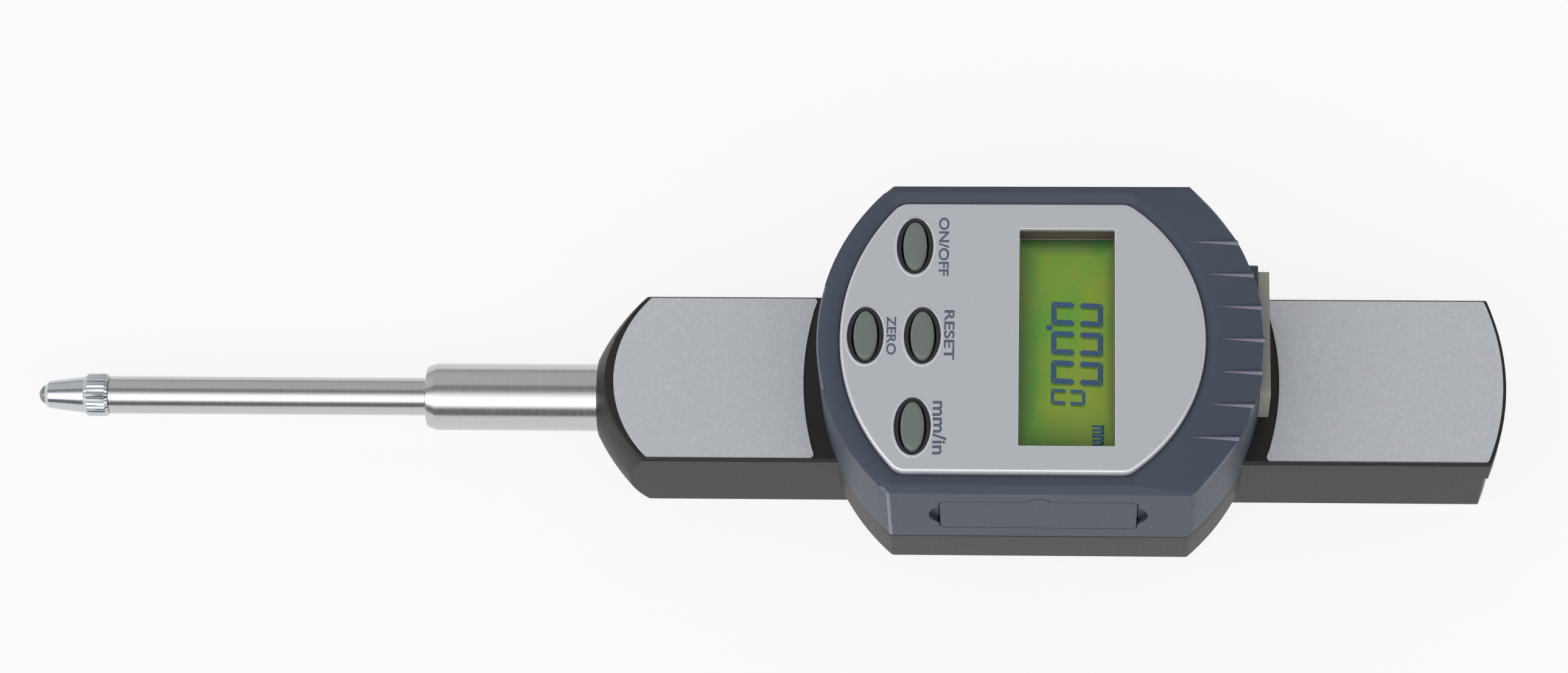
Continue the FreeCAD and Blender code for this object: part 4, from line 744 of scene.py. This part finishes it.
class INDICATOR_OT_stem(bpy.types.Operator):
    """The ground stem with its bevelled end, and the plunger rod."""
    bl_idname = "indicator.stem"
    bl_label = "Stem and plunger"

    def execute(self, context):
        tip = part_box("stem")[0].x / MM
        # The bore's front, the bevelled end, the outside, the spigot, and back through the bore
        stem = lathe("stem_dressed", [
            (tip + 6, STEM_BORE), (tip, STEM_BORE), (tip, 3.45), (tip + 0.1, 3.62), (tip + 0.35, 3.74),
            (tip + 1.05, 3.97), (tip + 1.25, STEM_RADIUS), (-0.02, STEM_RADIUS), (-0.02, SPIGOT_RADIUS),
            (SPIGOT_END, SPIGOT_RADIUS), (SPIGOT_END, STEM_BORE), (tip + 6, STEM_BORE)])
        dress(smooth(stem, 12), "housing", "ground_steel", "stem")
        front, back = (corner.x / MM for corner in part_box("spindle"))
        rod = lathe("plunger_rod", [
            (front, 1.3), (front, 2.1), (front + 0.15, ROD_RADIUS),
            (back - 0.3, ROD_RADIUS), (back, 2.0), (back, 0)])
        dress(smooth(rod, 25), "plunger", "ground_steel", "spindle")
        return {"FINISHED"}


class INDICATOR_OT_contact(bpy.types.Operator):
    """The screw-in contact point: polished cone, fluted grip collar and a hard ball in its nose."""
    bl_idname = "indicator.contact"
    bl_label = "Contact point"

    def execute(self, context):
        nose, root = (corner.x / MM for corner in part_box("contact_point"))
        start, end = nose + COLLAR_START, nose + COLLAR_END
        # The seat of the ball, the nose, the cone, the collar and the thread's core
        point = lathe("contact_point_dressed", [
            (nose + 0.6, 0), (nose + 0.1, 1.1), (nose, 1.2), (nose + 0.12, 1.38), (nose + 0.47, 1.66),
            (start - 0.35, 2.21), (start - 0.3, 2.26), (start - 0.02, 2.5), (start + 0.08, COLLAR_RADIUS),
            (end - 0.44, COLLAR_RADIUS), (end - 0.31, 2.5), (end, 2.25),
            (end, 1.25), (root, 1.25), (root, 0)])
        depth = context.scene.indicator_look.flute / MM
        line_turn = 2 * math.pi / TURNED_STEPS

        def line_of(vertex):
            """Which line of its flute a vertex lies on, from 0 at the bottom."""
            return round(math.atan2(vertex.co.z, vertex.co.y) / line_turn) % FLUTE_EVERY

        def on_collar(vertex):
            """Whether a vertex lies on the collar's outside, its last bevel apart."""
            return math.hypot(vertex.co.y, vertex.co.z) > millimetres(2.4) and vertex.co.x / MM < end - 0.19

        # One line in four is the bottom of a flute, and its neighbours lie on the flute's sides
        edit(point)
        for lines, cut in (((0,), depth), ((1, FLUTE_EVERY - 1), depth * FLUTE_SIDE)):
            choose(point, "VERT", lambda vertex, lines=lines: on_collar(vertex) and line_of(vertex) in lines)
            share = 1 - cut / COLLAR_RADIUS
            bpy.ops.transform.resize(value=(1, share, share), center_override=(0, 0, 0))
        done(point)
        dress(smooth(point, 30), "plunger", "nickel", "contact_point")
        low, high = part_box("contact_ball")
        bpy.ops.mesh.primitive_uv_sphere_add(segments=48, ring_count=24, radius=(high.z - low.z) / 2,
                                             location=(low + high) / 2, rotation=(0, math.pi / 2, 0))
        ball = settle(named("contact_ball_dressed"))
        dress(smooth(ball, 60), "plunger", "carbide", "contact_ball", slot="ground_steel")
        return {"FINISHED"}


class INDICATOR_OT_buttons(bpy.types.Operator):
    """Four oval caps with a crowned face and a soft shoulder."""
    bl_idname = "indicator.buttons"
    bl_label = "Buttons"

    def execute(self, context):
        crown = sum(rise for share, rise in CAP_CROWN)
        for name in ("button_on_off", "button_zero", "button_reset", "button_units"):
            low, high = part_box(name)
            centre = (low + high) / 2
            centre.z = low.z
            bpy.ops.mesh.primitive_circle_add(vertices=CAP_SIDES, radius=1, fill_type="NGON", location=centre)
            cap = named(f"{name}_cap")
            cap.scale = (*millimetres(*CAP_HALF), 1)
            settle(cap)
            edit(cap)
            everything()
            bpy.ops.mesh.extrude_region_move()
            move(z=(high.z - low.z) / MM - crown)
            for share, rise in CAP_CROWN:
                bpy.ops.mesh.extrude_region_move()
                move(z=rise)
                bpy.ops.transform.resize(value=(share, share, 1), center_override=centre)
            everything()
            bpy.ops.mesh.normals_make_consistent(inside=False)
            done(cap)
            dress(smooth(cap, 60), name, "button_grey", name)
        return {"FINISHED"}


def lettering(name, words, box, level, finish, weight=0.02, slot=None):
    """Flat letters that read along -Y with their tops towards +X, fitted into a box in millimetres."""
    bpy.ops.object.text_add(rotation=(0, 0, -math.pi / 2))
    piece = bpy.context.object
    piece.data.body = words
    piece.data.size = MM
    piece.data.offset = weight * MM
    bpy.ops.object.convert(target="MESH")
    piece = settle(named(name))
    corners = [vertex.co for vertex in piece.data.vertices]
    for axis, (low, high) in enumerate(zip(box[::2], box[1::2])):
        start = min(c[axis] for c in corners)
        scale = (high - low) * MM / (max(c[axis] for c in corners) - start)
        piece.scale[axis] = scale
        piece.location[axis] = low * MM - start * scale
    piece.location.z = millimetres(level)
    settle(piece)
    modify(piece, "SOLIDIFY", thickness=bpy.context.scene.indicator_look.ink, offset=1)
    return dress(piece, "housing", finish, slot=slot)


class INDICATOR_OT_lettering(bpy.types.Operator):
    """The plain words beside the buttons."""
    bl_idname = "indicator.lettering"
    bl_label = "Lettering"

    def execute(self, context):
        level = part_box("face_plate")[1].z / MM - RIM_RISE + 0.002
        for name, words, box in WORDS:
            lettering(name, words, box, level, "grey_ink")
        return {"FINISHED"}


def rectangle(name, left, right, low, high, level):
    """A flat rectangle, its sides and its height in millimetres."""
    bpy.ops.mesh.primitive_plane_add(size=1)
    piece = named(name)
    piece.scale = (millimetres(right - left), millimetres(high - low), 1)
    piece.location = millimetres((left + right) / 2, (low + high) / 2, level)
    return settle(piece)


def numeral(name, foot, top, start, end, stroke, level):
    """A nought of a seven-segment display: six bars with mitred corners and pointed inner ends."""
    piece = rectangle(name, foot, top, end, start, level)
    middle = millimetres((foot + top) / 2)
    edit(piece)
    everything()
    bpy.ops.mesh.inset(thickness=millimetres(stroke))
    bpy.ops.mesh.delete(type="FACE")

    def long_side(item):
        """Whether an edge runs along the figure's height."""
        ends = [vertex.co for vertex in item.verts]
        return abs(ends[0].y - ends[1].y) < 1e-7 and abs(ends[0].x - ends[1].x) > millimetres(0.5)

    # Each long side is cut across at its middle, and the short pieces there are taken out
    choose(piece, "EDGE", long_side)
    bpy.ops.mesh.subdivide(number_cuts=1)
    choose(piece, "EDGE", lambda item: all(abs(vertex.co.x - middle) < 1e-6 for vertex in item.verts))
    bpy.ops.mesh.bevel(offset=millimetres(stroke * 0.75), segments=1, affect="EDGES")
    choose(piece, "FACE", lambda face: abs(face.calc_center_median().x - middle) < 1e-5
           and face.calc_area() < (stroke * 2 * MM) ** 2)
    bpy.ops.mesh.delete(type="FACE")
    # The bars' open ends get a point each
    choose(piece, "EDGE", lambda item: item.is_boundary and not long_side(item)
           and all(abs(vertex.co.x - middle) < millimetres(stroke) for vertex in item.verts))
    bpy.ops.mesh.subdivide(number_cuts=1)

    def tip(vertex, side):
        """Whether a vertex is the middle of a bar's open end, on this side of the figure's middle."""
        others = [item.other_vert(vertex).co for item in vertex.link_edges]
        return (0 < side * (vertex.co.x - middle) < millimetres(stroke) and len(others) == 2
                and len({round(other.y, 7) for other in others}) == 2
                and all(abs(other.x - vertex.co.x) < 1e-7 for other in others))

    for side in (-1, 1):
        choose(piece, "VERT", lambda vertex, side=side: tip(vertex, side))
        move(x=-side * stroke * 0.5)
    # What is left is parted into single bars
    bpy.ops.mesh.select_mode(type="FACE")
    everything()
    bpy.ops.mesh.inset(thickness=millimetres(BAR_GAP), use_individual=True)
    bpy.ops.mesh.select_all(action="INVERT")
    bpy.ops.mesh.delete(type="FACE")
    done(piece)
    lean = Matrix.Identity(4)
    lean[1][0] = -FIGURE_LEAN
    lean[1][3] = millimetres(foot) * FIGURE_LEAN
    piece.data.transform(lean)
    return piece


def ring(name, sides, level, wall, rise, finish):
    """A thin upright ring inside four sides (left, right, low, high), in millimetres."""
    piece = rectangle(name, *sides, level)
    edit(piece)
    everything()
    bpy.ops.mesh.inset(thickness=millimetres(wall))
    bpy.ops.mesh.delete(type="FACE")
    everything()
    bpy.ops.mesh.extrude_region_move()
    move(z=rise)
    everything()
    bpy.ops.mesh.normals_make_consistent(inside=False)
    return dress(done(piece), "housing", finish, slot="lcd")


class INDICATOR_OT_reading(bpy.types.Operator):
    """The reading on the display: noughts with the point, the unit, and their shadows on the light panel."""
    bl_idname = "indicator.reading"
    bl_label = "Reading"

    def execute(self, context):
        low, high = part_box("lcd_glass")
        level = high.z / MM

        def sides(inward):
            """The glass's four sides in millimetres, each moved inward."""
            return (low.x / MM + inward, high.x / MM - inward, low.y / MM + inward, high.y / MM - inward)

        ring("display_liner", sides(GLASS_LAP - 0.02), level, 0.09, 2.25, "display_liner")
        ring("glass_line", sides(GLASS_LAP + 0.07), level, 0.05, 0.02, "glass_edge")
        layers = (("figure", "liquid_crystal", 0, FIGURE_LEVEL),
                  ("figure_shadow", "crystal_shadow", SHADOW_DROP, SHADOW_LEVEL))
        for number, (foot, top, start, end, stroke) in enumerate(FIGURES, start=1):
            for kind, finish, drop, height in layers:
                piece = numeral(f"{kind}_{number}", foot, top, start - drop, end - drop, stroke,
                                level + height)
                dress(piece, "housing", finish, slot="lcd")
        bpy.ops.mesh.primitive_circle_add(vertices=24, radius=millimetres(POINT_RADIUS), fill_type="NGON",
                                          location=millimetres(*POINT_PLACE, level + FIGURE_LEVEL))
        dress(settle(named("figure_point")), "housing", "liquid_crystal", slot="lcd")
        lettering("figure_unit", "mm", UNIT_BOX, level + 0.01, "liquid_crystal", weight=0.04, slot="lcd")
        return {"FINISHED"}


def studio_world(level):
    """Soft light from all round, banded along the object as a strip light and a dark ceiling band it."""
    world = bpy.data.worlds.new("studio")
    world.use_nodes = True
    tree = world.node_tree
    tree.nodes.clear()
    way = add(tree, "SeparateXYZ", {0: add(tree, "TexCoord").outputs["Generated"]})
    turn = add(tree, "Math", {0: way.outputs["Y"], 1: way.outputs["Z"]}, operation="ARCTAN2")
    along = add(tree, "MapRange", {0: turn.outputs[0], 1: -math.pi, 2: math.pi, 3: 0, 4: 1})
    bands = add(tree, "ValToRGB", {0: along.outputs[0]})
    stops = bands.color_ramp.elements
    for place, (degrees, share) in enumerate(STUDIO):
        position = (degrees + 180) / 360
        stop = stops[place] if place == 0 else stops.new(position)
        stop.position = position
        stop.color = (share, share, share, 1)
    stops.remove(stops[len(STUDIO)])
    # The side of the contact point is lit a little more, so that edges across the object show
    strength = add(tree, "MapRange", {0: way.outputs["X"], 1: -0.8, 2: 0.8,
                                      3: level * (1 + SIDE_LIGHT), 4: level * (1 - SIDE_LIGHT)})
    light = add(tree, "Background", {"Color": bands.outputs[0], "Strength": strength.outputs[0]})
    add(tree, "OutputWorld", {"Surface": light.outputs[0]})
    return world


def pale_floor():
    """Matt white paper that the camera and reflections see as nearly white, with a shadow on it."""
    material, tree = blank("pale_floor")
    seen = add(tree, "LightPath")
    direct = add(tree, "Math", {0: seen.outputs["Is Camera Ray"], 1: seen.outputs["Is Glossy Ray"]},
                 operation="MAXIMUM")
    share = add(tree, "Math", {0: direct.outputs[0], 1: FLOOR_WHITE}, operation="MULTIPLY")
    paper = add(tree, "BsdfDiffuse", {"Color": linear("#f2f2f2")})
    white = add(tree, "Emission", {"Color": (1, 1, 1, 1), "Strength": 1})
    both = add(tree, "MixShader", {0: share.outputs[0], 1: paper.outputs[0], 2: white.outputs[0]})
    return close(material, tree, both.outputs[0])


class INDICATOR_OT_stage(bpy.types.Operator):
    """A pale floor, soft studio light and the camera where the photographer stood."""
    bl_idname = "indicator.stage"
    bl_label = "Stage"

    def execute(self, context):
        bpy.ops.mesh.primitive_plane_add(size=FLOOR_SIZE, location=(0, 0, CAD_BOX[0].z - FLOOR_GAP))
        floor = named("floor")
        floor.data.materials.append(pale_floor())
        context.scene.world = studio_world(context.scene.indicator_look.light)
        bpy.ops.object.camera_add(location=millimetres(*CAMERA_PLACE),
                                  rotation=[math.radians(angle) for angle in CAMERA_TURN])
        camera = context.object
        camera.data.sensor_width = SENSOR_WIDTH
        camera.data.lens = CAMERA_LENS
        camera.data.clip_start = 0.01
        context.scene.camera = camera
        context.scene.view_settings.view_transform = "Standard"
        return {"FINISHED"}


class INDICATOR_PT_panel(bpy.types.Panel):
    """Lists the sizes, the colours and the steps in the 3D view's sidebar."""
    bl_idname = "INDICATOR_PT_panel"
    bl_label = "Indicator"
    bl_space_type = "VIEW_3D"
    bl_region_type = "UI"
    bl_category = "Indicator"

    def draw(self, context):
        for group, kind in ((context.scene.indicator_look, Look), (context.scene.indicator_colours, Colours)):
            for name in kind.__annotations__:
                self.layout.prop(group, name)
        for step in STEPS:
            self.layout.operator(step.bl_idname)


STEPS = (INDICATOR_OT_finishes, INDICATOR_OT_housing, INDICATOR_OT_drawer, INDICATOR_OT_fasteners,
         INDICATOR_OT_stem, INDICATOR_OT_contact, INDICATOR_OT_buttons, INDICATOR_OT_lettering,
         INDICATOR_OT_reading, INDICATOR_OT_stage)
CLASSES = (Look, Colours, *STEPS, INDICATOR_PT_panel)


def register():
    """Adds the properties, the steps and the panel to Blender."""
    for entry in CLASSES:
        bpy.utils.register_class(entry)
    bpy.types.Scene.indicator_look = bpy.props.PointerProperty(type=Look)
    bpy.types.Scene.indicator_colours = bpy.props.PointerProperty(type=Colours)


def unregister():
    """Takes them out again."""
    del bpy.types.Scene.indicator_colours
    del bpy.types.Scene.indicator_look
    for entry in reversed(CLASSES):
        bpy.utils.unregister_class(entry)


def main():
    """Runs every step in order."""
    register()
    for step in STEPS:
        group, name = step.bl_idname.split(".")
        getattr(getattr(bpy.ops, group), name)()


if __name__ == "__main__":
    main()
